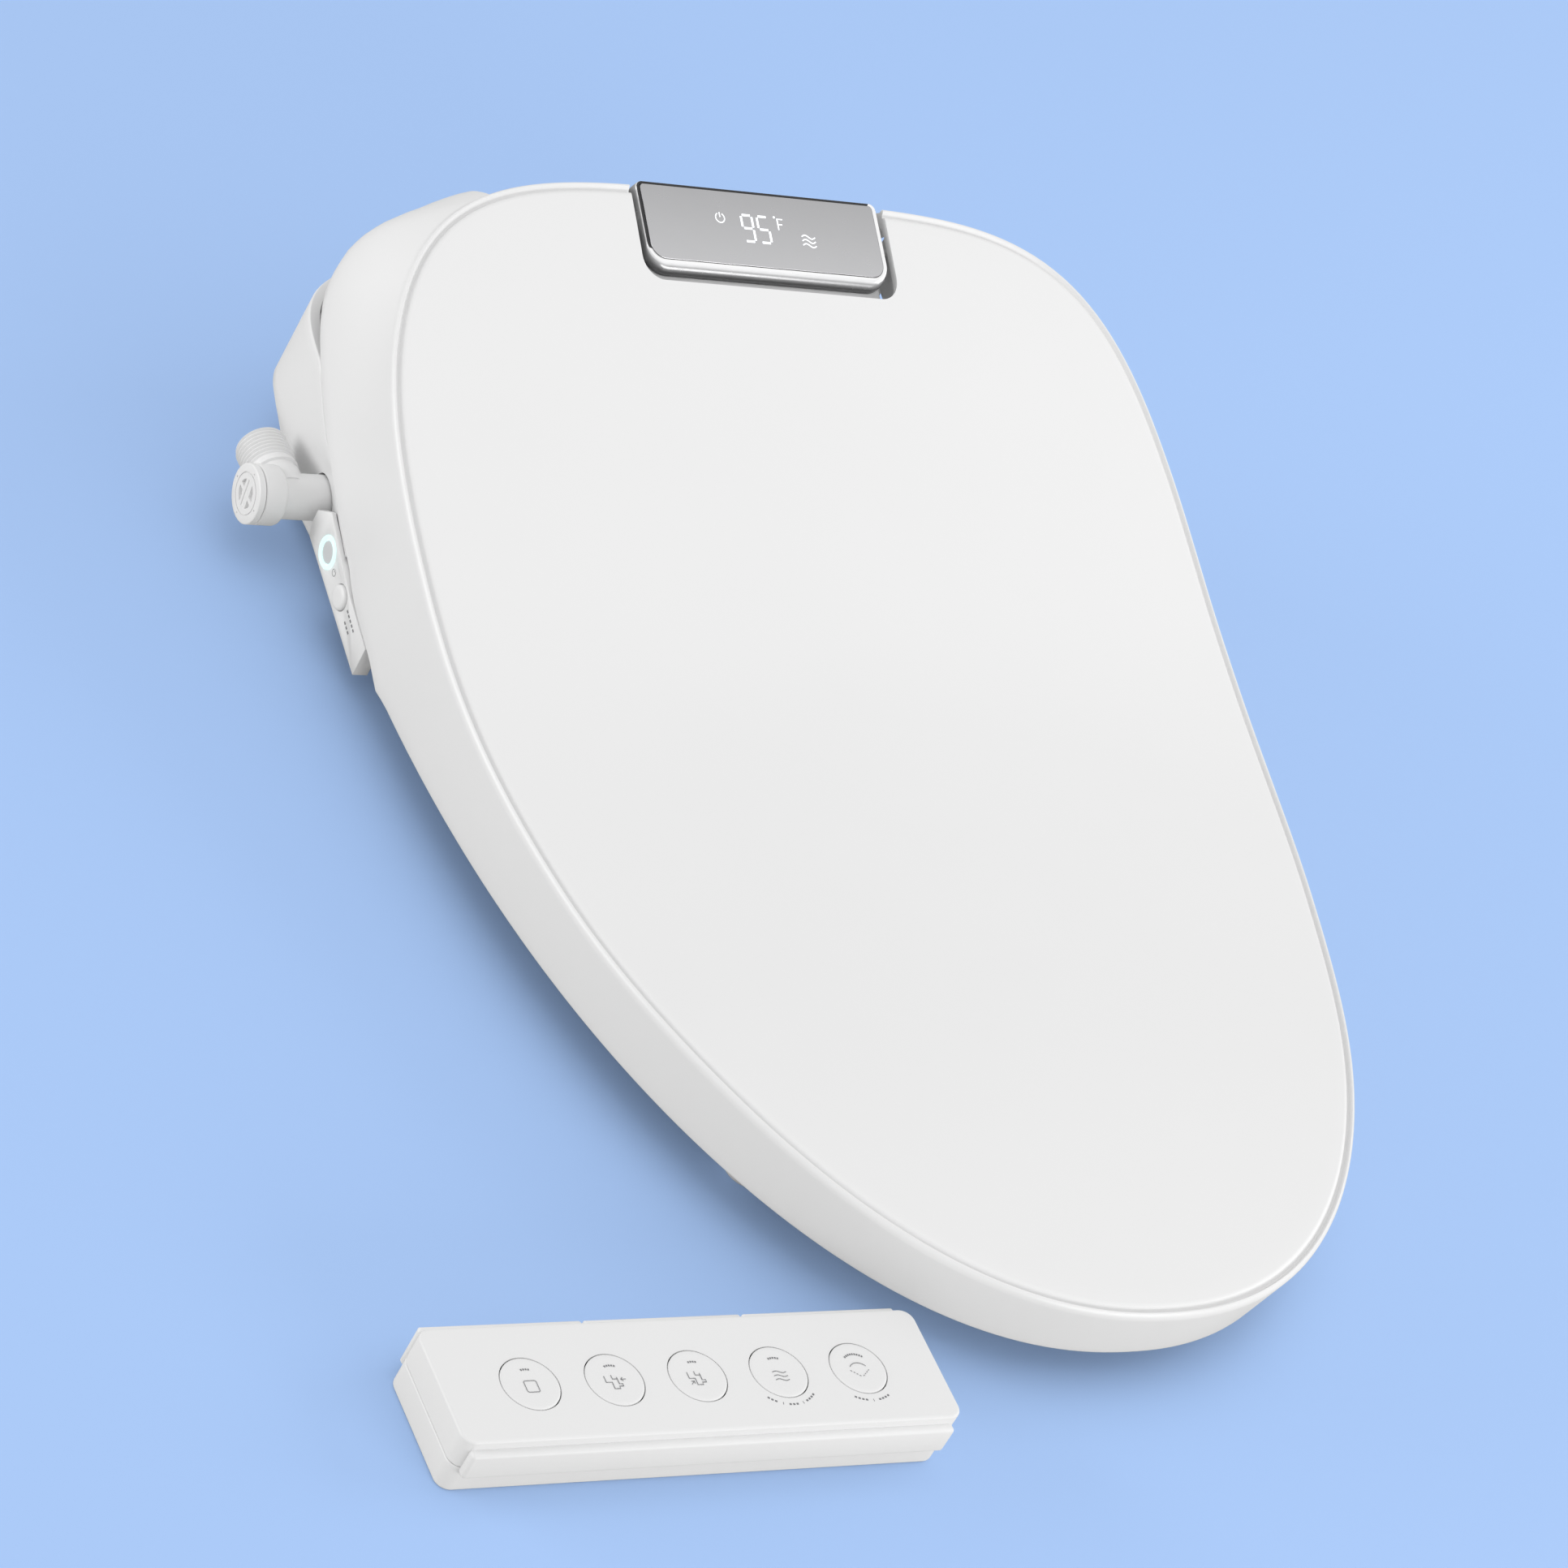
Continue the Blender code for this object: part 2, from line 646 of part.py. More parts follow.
def cover():
    """The flat cover of the tray, with its rear wall and two bonnets that close the space below the lid."""
    skirt, edge, under = COVER_INSET, COVER_INSET + 0.0020, COVER_TOP - 0.0022
    rings = [
        base_ring(skirt, COVER_TOP),
        base_ring(skirt, flange_foot),
        base_ring(edge, flange_foot),
        base_ring(edge, under),
    ]
    shell = loft("base_cover", rings, "white_satin")
    y0, y1, z1, half = REAR_WALL
    wall = prism("rear_wall_guide", rounded(-half, half, COVER_TOP - 0.0010, z1, 0.020), y0, y1, None, "Y")
    join(shell, wall)
    well = box("tower_well_cutter", (-0.051, -0.050, 0.05), (0.051, 0.038, 0.065), None)
    cut(shell, well)
    foot = COVER_TOP - ARM_SINK
    for side, name in ((-1, "left"), (1, "right")):
        x0, x1 = sorted((side * 0.099, side * 0.150))
        bonnet = [(-0.055, foot), (-0.008, foot), (-0.008, 0.0920), (-0.020, 0.0890), (-0.055, 0.0740)]
        join(shell, prism(f"bonnet_guide_{name}", bonnet, x0, x1, None, "X"))
        p0, p1 = sorted(side * x for x in PEDESTAL_X)
        post = [(HINGE_Y - 0.011, foot), (HINGE_Y + 0.011, foot)]
        post += [
            (HINGE_Y + KNUCKLE_R * math.cos(t), HINGE_Z + KNUCKLE_R * math.sin(t) * 0.95)
            for t in np.radians([0, 30, 60, 90, 120, 150, 180])
        ]
        join(shell, prism(f"pedestal_guide_{name}", post, p0, p1, None, "X"))
        cut(shell, along_x(p0 - 0.01, p1 + 0.01, HINGE_Y, HINGE_Z, BORE_R, f"pedestal_bore_cutter_{name}"))
    return shell


def display_line(y, drop=0.0):
    """Height of the display's face at y."""
    (y0, z0), (y1, z1) = DISPLAY_FRONT, DISPLAY_BACK
    return z0 + (y - y0) * (z1 - z0) / (y1 - y0) - drop


def tower():
    """The centre tower: nozzle bay in front, display bed on top. Hollow, open underneath."""
    foot = COVER_TOP + GAP
    bed = 0.0066
    side = [
        (-0.0560, foot),
        (0.0440, foot),
        (0.0440, display_line(0.0440, bed)),
        (0.0115, display_line(0.0115, bed)),
        (0.0040, 0.1120),
        (-0.0440, 0.0890),
        (-0.0560, 0.0780),
    ]
    shell = prism("control_tower", side, -TOWER_X, TOWER_X, "white_satin", "X")
    inner = [
        (-0.0535, foot - 0.01),
        (0.0415, foot - 0.01),
        (0.0415, display_line(0.0415, bed + 0.0028)),
        (0.0125, display_line(0.0125, bed + 0.0030)),
        (0.0050, 0.1095),
        (-0.0430, 0.0865),
        (-0.0535, 0.0768),
    ]
    hollow = prism("tower_hollow_cutter", inner, -TOWER_X + WALL, TOWER_X - WALL, None, "X")
    cut(shell, hollow)
    return shell


def display():
    slope = math.atan2(DISPLAY_BACK[1] - DISPLAY_FRONT[1], DISPLAY_BACK[0] - DISPLAY_FRONT[0])
    length = math.hypot(DISPLAY_BACK[0] - DISPLAY_FRONT[0], DISPLAY_BACK[1] - DISPLAY_FRONT[1])

    def tilted(name, points, low, high, slot):
        """Extrude an (x, along) outline normal to the display's face."""
        rings = []
        for depth in (low, high):
            ring = []
            for x, along in points:
                y = DISPLAY_FRONT[0] + along * math.cos(slope) - depth * math.sin(slope)
                z = DISPLAY_FRONT[1] + along * math.sin(slope) + depth * math.cos(slope)
                ring.append((x, y, z))
            rings.append(ring)
        return loft(name, rings, slot)

    def plan(inset, corner):
        return rounded(-DISPLAY_X + inset, DISPLAY_X - inset, inset, length - inset, corner)

    bezel = tilted("display_bezel", plan(0.0, 0.006), -0.0060, -0.0002, "chrome_trim")
    pocket = tilted("bezel_pocket_cutter", plan(0.0016, 0.0050), -0.0024, 0.004, None)
    cut(bezel, pocket)
    glass = tilted("display_glass", plan(0.0019, 0.0047), -0.0021, 0.0, "display_silver")
    board = box("display_board", (-0.046, -0.036, 0.0700), (0.046, 0.036, 0.0716), "circuit_green")
    return [bezel, glass, board]


def hinge_hardware():
    pieces = []
    for side, name in ((-1, "left"), (1, "right")):
        x0, x1 = sorted((side * (TOWER_X + GAP), side * (DAMPER_X[0] - GAP)))
        pieces.append(along_x(x0, x1, HINGE_Y, HINGE_Z, SHAFT_R, f"hinge_shaft_{name}", "steel"))
        d0, d1 = sorted(side * x for x in DAMPER_X)
        kind = "lid" if side < 0 else "seat"
        pieces.append(along_x(d0, d1, HINGE_Y, HINGE_Z - 0.0004, 0.0064, f"{kind}_damper", "grey_plastic"))
    return pieces


# ---------------------------------------------------------------- side panel
def face_bar(name, outer, inner, centre, radius, slot=None):
    """A round bar through the panel's face, between two depths measured inwards from it."""
    return along_x(ARM_FACE_X + outer, ARM_FACE_X + inner, *centre, radius, name, slot, 32)


def side_panel():
    steps = (-0.055, -0.065, -0.078, -0.090, -0.097, ARM_FRONT_Y)
    seam = [(y, curve_through(SEAM, y) - 0.0012) for y in steps]
    arm = prism("side_panel_arm", [*ARM_FOOT, *seam], ARM_FACE_X, ARM_BACK_X, "white_shell", "X")
    away = -GAP
    housing = [
        base_ring(away, 0.0, BASE_HEM),
        *wall_rings(away),
        base_ring(away, 0.080),
    ]
    cut(arm, loft("housing_cutter", housing, None))
    ring_hole = face_bar("ring_hole_cutter", OUTSIDE, 0.0022, RING, RING_R + GAP)
    wash_hole = face_bar("wash_hole_cutter", OUTSIDE, 0.0040, WASH, WASH_R + 0.0004)
    cut(arm, ring_hole, wash_hole)
    lens = face_bar("ring_lens", -0.0002, 0.0019, RING, RING_R, "ring_lens")
    cut(lens, face_bar("lens_hole_cutter", OUTSIDE, 0.0080, RING, RING_R - 0.0018))
    power = face_bar("power_button", 0.0, 0.0009, RING, RING_R - 0.0018 - GAP, "grey_plastic")
    wash = face_bar("wash_button", -0.0014, 0.0026, WASH, WASH_R, "white_shell")
    return arm, lens, power, wash


# ---------------------------------------------------------------- water inlet
def inlet():
    tee = along_x(-0.1690, -0.1975, VALVE_Y, VALVE_Z, STEM_R, "inlet_tee", "white_shell", 32)
    head = along_x(-0.1960, -0.2068, VALVE_Y, VALVE_Z, CAP_R, "tee_head_guide", None, 32)
    neck = tube("tee_neck_guide", (PORT_X, VALVE_Y, VALVE_Z), (PORT_X, -0.0060, VALVE_Z), PORT_R, None, 32)
    thread_start, thread_end = (PORT_X, -0.0070, VALVE_Z), (PORT_X, 0.0065, VALVE_Z)
    thread = tube("tee_thread_guide", thread_start, thread_end, THREAD_R, None, 32)
    join(tee, head, neck, thread)
    bore = tube("tee_bore_cutter", (PORT_X, -0.0100, VALVE_Z), (PORT_X, 0.0200, VALVE_Z), 0.0070, None, 24)
    cut(tee, bore)
    cap = along_x(-0.2100, -0.2071, VALVE_Y, VALVE_Z, CAP_R, "filter_cap", "white_shell", 32)
    for k, (length, turn) in enumerate(((0.0105, 0.45), (0.0070, -0.95))):
        half = Vector((0.0, math.cos(turn), math.sin(turn))) * length / 2
        across = Vector((0.0, -math.sin(turn), math.cos(turn))) * 0.0010
        centre = Vector((0.0, VALVE_Y, VALVE_Z))
        ends = (centre - half, centre + half)
        corners = [ends[0] - across, ends[1] - across, ends[1] + across, ends[0] + across]
        slot = prism(f"cap_slot_cutter_{k}", [(c.y, c.z) for c in corners], -0.215, -0.2091, None, "X")
        cut(cap, slot)
    return tee, cap


# ---------------------------------------------------------------- nozzles
def nozzle_point(travel, lift=0.0):
    """A point on the nozzle's axis, travel back from its tip and lift above it."""
    y = NOZZLE_TIP[0] + travel * math.cos(NOZZLE_SLOPE) - lift * math.sin(NOZZLE_SLOPE)
    z = NOZZLE_TIP[1] + travel * math.sin(NOZZLE_SLOPE) + lift * math.cos(NOZZLE_SLOPE)
    return y, z


def nozzles():
    made = {}
    pinion_at = (PINION_Y - NOZZLE_TIP[0]) / math.cos(NOZZLE_SLOPE)
    py, pz = nozzle_point(pinion_at, NOZZLE_R + 0.0004 + PINION_R)
    for side, name in ((-1, "front"), (1, "rear")):
        x = side * NOZZLE_X
        (y0, z0), (y1, z1) = nozzle_point(0.0), nozzle_point(NOZZLE_LENGTH)
        wand = tube(f"{name}_nozzle", (x, y0, z0), (x, y1, z1), NOZZLE_R, "white_satin", 20)
        soften(wand, 0.0008, 1)
        gear = along_x(x - 0.0035, x + 0.0035, py, pz, PINION_R, f"{name}_pinion", "grey_plastic", 20)
        motor = along_x(side * 0.0165, side * 0.0380, py, pz, 0.0080, f"{name}_nozzle_motor", "steel", 20)
        made[name] = (wand, gear, motor)
    cradle_outline = [
        (-0.0560, BASE_Z + WALL + GAP),
        (0.0400, BASE_Z + WALL + GAP),
        (0.0400, nozzle_point(0.1000)[1] - NOZZLE_R - 0.0020),
        (-0.0560, nozzle_point(0.0)[1] - NOZZLE_R - 0.0012),
    ]
    cradle = prism("nozzle_cradle", cradle_outline, -0.024, 0.024, "grey_plastic", "X")
    return made, cradle, (py, pz)


# ---------------------------------------------------------------- internals of the tray
def internals():
    x, y, top = BLOWER
    floor = BASE_Z + WALL + GAP
    housing = tube("blower_housing", (x, y, floor), (x, y, top), 0.0210, "grey_plastic", 28)
    cut(housing, tube("blower_hollow_cutter", (x, y, floor + 0.002), (x, y, top + 0.01), 0.0188, None, 28))
    mouth_low, mouth_high = (x - 0.012, y - 0.03, floor + 0.003), (x + 0.012, y - 0.01, top - 0.004)
    outlet = box("blower_outlet_cutter", mouth_low, mouth_high, None)
    cut(housing, outlet)
    duct_low, duct_high = (0.0470, -0.0575, floor + 0.002), (0.0810, -0.0355, 0.0300)
    duct = box("dryer_duct", duct_low, duct_high, "grey_plastic")
    cut(duct, box("duct_hollow_cutter", (0.0490, -0.07, floor + 0.004), (0.0790, -0.02, 0.0280), None))
    impeller = tube("blower_impeller", (x, y, floor + 0.004), (x, y, top - 0.003), 0.0050, "dark_plastic", 20)
    for k in range(8):
        turn = math.tau * k / 8
        root, tip = (0.003, -0.0006, floor + 0.0042), (0.0165, 0.0006, top - 0.0034)
        blade = box(f"impeller_blade_guide_{k}", root, tip, None)
        blade.matrix_world = Matrix.Translation((x, y, 0.0)) @ Matrix.Rotation(turn, 4, "Z")
        join(impeller, blade)
    motor = tube("blower_motor", (x, y, top + 0.001), (x, y, 0.0560), 0.0115, "steel", 24)
    parts = [
        housing,
        duct,
        motor,
        box("solenoid_valve", (-0.1680, -0.0350, 0.0120), (-0.1300, -0.0100, 0.0440), "dark_plastic", 0.0015),
        box("heater_tank", (-0.1400, 0.0040, floor), (-0.0700, 0.0560, 0.0540), "grey_plastic", 0.004),
        tube("water_pump", (-0.0950, -0.0400, floor), (-0.0950, -0.0400, 0.0500), 0.0145, "grey_plastic", 20),
        box("diverter_valve", (-0.0600, -0.0040, 0.0140), (-0.0300, 0.0300, 0.0440), "grey_plastic", 0.002),
        box("power_supply", (0.0470, 0.0140, floor), (0.1120, 0.0620, 0.0340), "steel", 0.001),
        box("control_board", (0.0470, 0.0140, 0.0380), (0.1450, 0.0640, 0.0396), "circuit_green"),
    ]
    return parts, impeller


def drawer():
    """The deodoriser's drawer, open on top, and the carbon block in it."""
    body = box("deodoriser_drawer", (0.1180, 0.0010, 0.0097), (0.1765, 0.0360, 0.0353), "white_shell")
    cut(body, box("drawer_hollow_cutter", (0.1200, 0.0030, 0.0117), (0.1660, 0.0340, 0.06), None))
    carbon = box("carbon_filter", (0.1205, 0.0035, 0.0121), (0.1655, 0.0335, 0.0330), "carbon")
    return body, carbon


# ---------------------------------------------------------------- remote
def around(name, along, centre_y, half_width, heights, slot=None, bevel=0.0):
    """A box centred on a line along X, from its x span, half width and z span."""
    low = (along[0], centre_y - half_width, heights[0])
    high = (along[1], centre_y + half_width, heights[1])
    return box(name, low, high, slot, bevel)


def remote():
    cx, cy = REMOTE
    length, width, height = REMOTE_SIZE
    x0, x1, y0, y1 = cx - length / 2, cx + length / 2, cy - width / 2, cy + width / 2
    split, skin = 0.0120, 0.002  # height of the parting line, thickness of both shells
    inside = rounded(x0 + skin, x1 - skin, y0 + skin, y1 - skin, skin)
    front = prism("remote_front_shell", rounded(x0, x1, y0, y1, 0.004), split + GAP, height, "white_shell")
    cut(front, prism("remote_front_cutter", inside, 0.0, height - skin, None))
    buttons = []
    names = ("stop", "front_wash", "rear_wash", "dryer", "oscillate")
    for k, name in enumerate(names):
        bx = cx + (k - 2) * REMOTE_PITCH
        by = cy - 0.0010
        below, above = (bx, by, split + 0.005), (bx, by, 0.04)
        cut(front, tube(f"button_hole_cutter_{k}", below, above, REMOTE_BUTTON_R + 0.0004, None, 32))
        low, high = (bx, by, 0.0205), (bx, by, height + GAP)
        buttons.append(tube(f"{name}_button", low, high, REMOTE_BUTTON_R, "white_shell", 32))
    back = prism("remote_back_shell", rounded(x0, x1, y0, y1, 0.004), 0.0, split, "white_shell")
    cut(back, prism("remote_back_cutter", inside, 0.0035, 0.03, None))
    cut(back, around("battery_channel_cutter", (cx - 0.032, x1 + 0.01), cy, 0.0150, (-0.01, 0.0018)))
    cut(back, around("battery_hatch_cutter", (cx - 0.028, cx + 0.028), cy, 0.0120, (-0.01, 0.01)))
    door = around("battery_cover", (cx - 0.0315, x1 - 0.002), cy, 0.0146, (0.0004, 0.0015), "white_satin")
    board_low, board_high = (x0 + 0.006, y0 + 0.005, 0.0170), (x1 - 0.006, y1 - 0.005, 0.0184)
    board = box("remote_board", board_low, board_high, "circuit_green")
    cell = around("battery_pack", (cx - 0.022, cx + 0.022), cy, 0.0105, (0.0042, 0.0150), "cell_label", 0.002)
    strip_x = 0.0035
    foot_low, foot_high = (x0 + strip_x, y0 - STRIP, 0.0125), (x1 - strip_x, y0 + 0.001, 0.0215)
    join(front, box("remote_foot_guide", foot_low, foot_high, None))
    rockers = []
    third = (length - 2 * strip_x) / 3
    for k, name in enumerate(("left", "middle", "right")):
        rx0 = x0 + strip_x + k * third + 0.0003
        rx1 = x0 + strip_x + (k + 1) * third - 0.0003
        low, high = (rx0, y1 + 0.0010, 0.0040), (rx1, y1 + STRIP + 0.0008, 0.0215)
        rockers.append(box(f"top_key_{name}", low, high, "white_shell", 0.0010))
    return [front, back, board, cell], door, buttons, rockers


# ---------------------------------------------------------------- assembly
def main():
    for old in list(bpy.data.objects):
        bpy.data.objects.remove(old)

    hinge_line = (0.0, HINGE_Y, HINGE_Z)
    seat_pivot = pivot("seat_pivot", hinge_line)
    hang(seat_pivot, *seat())
    hang(pivot("lid_pivot", hinge_line), *lid())

    tray()
    cover()
    tower()
    display()
    hinge_hardware()

    plate_outline = rounded(-0.105, 0.105, -0.036, 0.036, 0.012)
    plate = prism("mounting_plate", plate_outline, 0.0, 0.0045, "grey_plastic")
    for side in (-1, 1):
        middle, half = side * BOLT_X, BOLT_SLOT[0] / 2
        shape = rounded(middle - half, middle + half, -BOLT_SLOT[1] / 2, BOLT_SLOT[1] / 2, half - 0.0001)
        cut(plate, prism(f"plate_slot_cutter_{side + 1}", shape, -0.01, 0.01, None))
    hang(pivot("plate_pivot", (0.0, 0.0, 0.0)), plate)
    for side, name in ((-1, "left"), (1, "right")):
        a, b = sorted((side * 0.120, side * 0.150))
        box(f"base_pad_{name}", (a, -0.045, 0.0), (b, 0.055, BASE_Z - GAP), "rubber", 0.001)

    _, _, power, wash = side_panel()
    hang(pivot("power_pivot", (ARM_FACE_X, *RING)), power)
    hang(pivot("wash_pivot", (ARM_FACE_X, *WASH)), wash)

    _, cap = inlet()
    hang(pivot("cap_pivot", (-0.2080, VALVE_Y, VALVE_Z)), cap)

    made, _, (py, pz) = nozzles()
    for name, (wand, gear, _) in made.items():
        y, z = nozzle_point(0.0)
        x = wand.bound_box[0][0] + NOZZLE_R
        hang(pivot(f"{name}_nozzle_pivot", (x, y, z)), wand)
        hang(pivot(f"{name}_pinion_pivot", (x, py, pz)), gear)

    _, impeller = internals()
    hang(pivot("blower_pivot", (BLOWER[0], BLOWER[1], BLOWER[2])), impeller)

    flap_low, flap_high = (0.0458, BASE_FRONT_Y - 0.0016, 0.0122), (0.0822, BASE_FRONT_Y + 0.0006, 0.0298)
    flap = box("dryer_flap", flap_low, flap_high, "white_satin")
    hang(pivot("flap_pivot", (0.064, BASE_FRONT_Y - 0.0005, 0.0290)), flap)

    release_low, release_high = (0.1680, -0.0510, 0.0200), (0.1800, -0.0330, 0.0300)
    release = box("release_button", release_low, release_high, "white_satin", 0.0008)
    hang(pivot("release_pivot", (0.1800, -0.042, 0.025)), release)

    body, carbon = drawer()
    hang(pivot("drawer_pivot", (0.1765, 0.0185, 0.0225)), body, carbon)
    tube("cord_gland", (0.100, 0.0700, 0.020), (0.100, 0.0880, 0.020), 0.0048, "dark_plastic", 20)

    shells, door, buttons, rockers = remote()
    remote_pivot = pivot("remote_pivot", (REMOTE[0], REMOTE[1], 0.0))
    hang(remote_pivot, *shells)
    hang(pivot("battery_cover_pivot", (REMOTE[0], REMOTE[1], 0.001)), door)
    for piece in (*buttons, *rockers):
        lows, highs = np.min(piece.bound_box, axis=0), np.max(piece.bound_box, axis=0)
        hang(pivot(f"{piece.name}_pivot", tuple((lows + highs) / 2)), piece)


main()
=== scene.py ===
"""Looks of the electric bidet seat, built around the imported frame. Metres, in the frame's own axes."""
import json
import math

import bmesh
import bpy
import numpy as np
from mathutils import Matrix, Vector


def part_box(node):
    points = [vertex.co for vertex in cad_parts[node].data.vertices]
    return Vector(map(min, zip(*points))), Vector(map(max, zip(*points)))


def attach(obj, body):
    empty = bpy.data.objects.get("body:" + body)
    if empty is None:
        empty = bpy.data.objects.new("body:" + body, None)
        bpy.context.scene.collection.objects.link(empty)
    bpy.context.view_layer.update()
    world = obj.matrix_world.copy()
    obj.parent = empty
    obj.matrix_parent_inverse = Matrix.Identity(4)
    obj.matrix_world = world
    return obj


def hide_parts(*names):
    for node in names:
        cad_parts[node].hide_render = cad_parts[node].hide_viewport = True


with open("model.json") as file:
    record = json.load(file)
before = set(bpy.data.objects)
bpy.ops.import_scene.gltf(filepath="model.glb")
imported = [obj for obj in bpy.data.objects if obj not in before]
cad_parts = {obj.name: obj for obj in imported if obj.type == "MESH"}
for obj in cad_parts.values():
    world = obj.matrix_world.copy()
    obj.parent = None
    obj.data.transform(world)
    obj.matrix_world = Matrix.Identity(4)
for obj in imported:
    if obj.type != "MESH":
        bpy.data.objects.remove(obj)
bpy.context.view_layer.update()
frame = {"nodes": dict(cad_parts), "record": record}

# ---------------------------------------------------------------- driving dimensions
CENTRE_Y = -0.125  # where the lid is widest
LID_TOP = (0.188, 0.330, 0.170, 2.19, 2.11, 4.47, 3.23)  # half width, front, back, four curve exponents
LID_FOOT = (0.1835, 0.324, 0.187, 2.19, 2.11, 6.0, 10.0)
LID_EDGE = (
    (-0.455, 0.0443),
    (-0.355, 0.0489),
    (-0.255, 0.0518),
    (-0.155, 0.0645),
    (-0.055, 0.0969),
    (0.045, 0.1445),
)
SEAM = (
    (-0.118, 0.016),
    (-0.105, 0.0225),
    (-0.071, 0.0310),
    (-0.023, 0.0508),
    (0.015, 0.0720),
    (0.045, 0.0870),
)
LID_WALL = 0.003
LID_CROWN = 0.003
REAR_FOOT_Z = 0.100
NOTCH_X, NOTCH_Y, NOTCH_CORNER = 0.0610, 0.0068, 0.009
RELIEF_X = (0.0765, 0.1240)
RELIEF = ((0.032, 0.090), (0.090, 0.090), (0.090, 0.1392), (0.043, 0.1392), (0.032, 0.1335))
BULGE, BULGE_Y = 1.5, (-0.030, 0.030)  # how the side wall rounds out at the back corners
# the rolled edge round the lid's top: how far in from the outline, how far below the top
LID_ROLL = (
    (0.0000, 0.0030),
    (0.0001, 0.0018),
    (0.0004, 0.0009),
    (0.0009, 0.0003),
    (0.0014, 0.0002),
    (0.0018, 0.0008),
    (0.0021, 0.0017),
    (0.0025, 0.0021),
    (0.0030, 0.0021),
    (0.0035, 0.0015),
    (0.0040, 0.0005),
    (0.0046, 0.0001),
    (0.0056, 0.0000),
)

HINGE_Y, HINGE_Z = 0.032, 0.126
KNUCKLE_R, BORE_R = 0.0072, 0.0034
LID_ARM_X = (0.0640, 0.0750)
SEAT_ARM_X = (0.0780, 0.0920)

BASE_Z = 0.0048
TRAY_TOP = 0.0690
BASE_FRONT_Y = -0.062
BASE_OUTLINE = (0.1832, 0.324, 0.206, 2.19, 2.11, 4.3, 8.2)
# how much narrower the housing is 30 mm up and at its foot, at its sides and at its back
BASE_WAIST, BASE_HEM = (0.018, -0.0085), (0.045, 0.075)
LIP = 0.0047
WALL = 0.0025

DISPLAY_X = 0.0580
FRONT_CORNER, BACK_CORNER = 0.0100, 0.0034
DISPLAY_FRONT = Vector((0.0, 0.0109, 0.1288))
DISPLAY_BACK = Vector((0.0, 0.0464, 0.1443))

VALVE = Vector((-0.1935, -0.0225, 0.028))  # where the stem's and the port's axes cross
STEM_R, CAP_R = 0.0091, 0.0119
THREAD_R, THREAD_PITCH, THREAD_DEPTH = 0.0104775, 0.001814, 0.0013

PANEL_FACE_X = -0.1850
RING_YZ, RING_R = (-0.0528, 0.0271), 0.0066
WASH_YZ, WASH_R = (-0.0730, 0.0224), 0.0050

LID_BUMPERS = (("front", -0.355, 0.098), ("middle", -0.200, 0.136))  # y and x
WINDOWS_IN_FRONT = {  # x, z and corner radius
    "nozzle_window": (-0.030, 0.030, 0.0125, 0.0355, 0.003),
    "dryer_window": (0.045, 0.083, 0.0115, 0.0305, 0.0004),
}
WINDOWS_AT_RIGHT = {  # y, z and corner radius
    "drawer_window": (0.0005, 0.0365, 0.0092, 0.0358, 0.0012),
    "release_window": (-0.052, -0.032, 0.0195, 0.0305, 0.0014),
}
GLAND_X, GLAND_Z, GLAND_R = 0.100, 0.020, 0.0052
SLOT_COUNT, SLOT_START, SLOT_PITCH, SLOT_WIDTH, SLOT_Z = 7, -0.060, 0.009, 0.004, (0.018, 0.042)

SEAT_HOLE = (0.112, 0.235, 0.030, 2.1, 2.1, 3.0, 2.4)
SEAT_INSET = 0.0090
SEAT_REAR_Y = -0.0655
SEAT_LOW, SEAT_PLATE_TOP, SEAT_TOP = 0.0115, 0.0145, 0.0335
SEAT_ROLL = (  # the opening's edge: how far out from it, how far below the top
    (0.0160, 0.0006),
    (0.0115, 0.0016),
    (0.0075, 0.0034),
    (0.0040, 0.0062),
    (0.0015, 0.0100),
    (0.0, 0.0150),
)
BUMPER = (  # share of the height, radius
    (0.0, 0.0088),
    (0.04, 0.0095),
    (0.10, 0.0099),
    (0.18, 0.0100),
    (0.55, 0.0094),
    (0.60, 0.0086),
    (0.68, 0.0086),
    (0.73, 0.0090),
    (1.0, 0.0085),
)
SEAT_LIFT, SEAT_ARCH = 0.0240, (math.radians(98), math.radians(117))

REMOTE_X, REMOTE_Y = -0.192, -0.456
REMOTE_SIZE = Vector((0.200, 0.0485, 0.025))
REMOTE_CORNER, REMOTE_SPLIT, REMOTE_WALL = 0.0052, 0.0120, 0.002
REMOTE_PITCH, REMOTE_BUTTON_R, STRIP = 0.033, 0.0109, 0.0032

HAIR = 0.00005  # how far print stands off the face it is on
BODY_OF = {n: b for b, ns in frame["record"]["behaviour"]["bodies"].items() for n in ns}
SLOT_OF = {s["node"]: s["material_slot"] for s in frame["record"]["subparts"]}


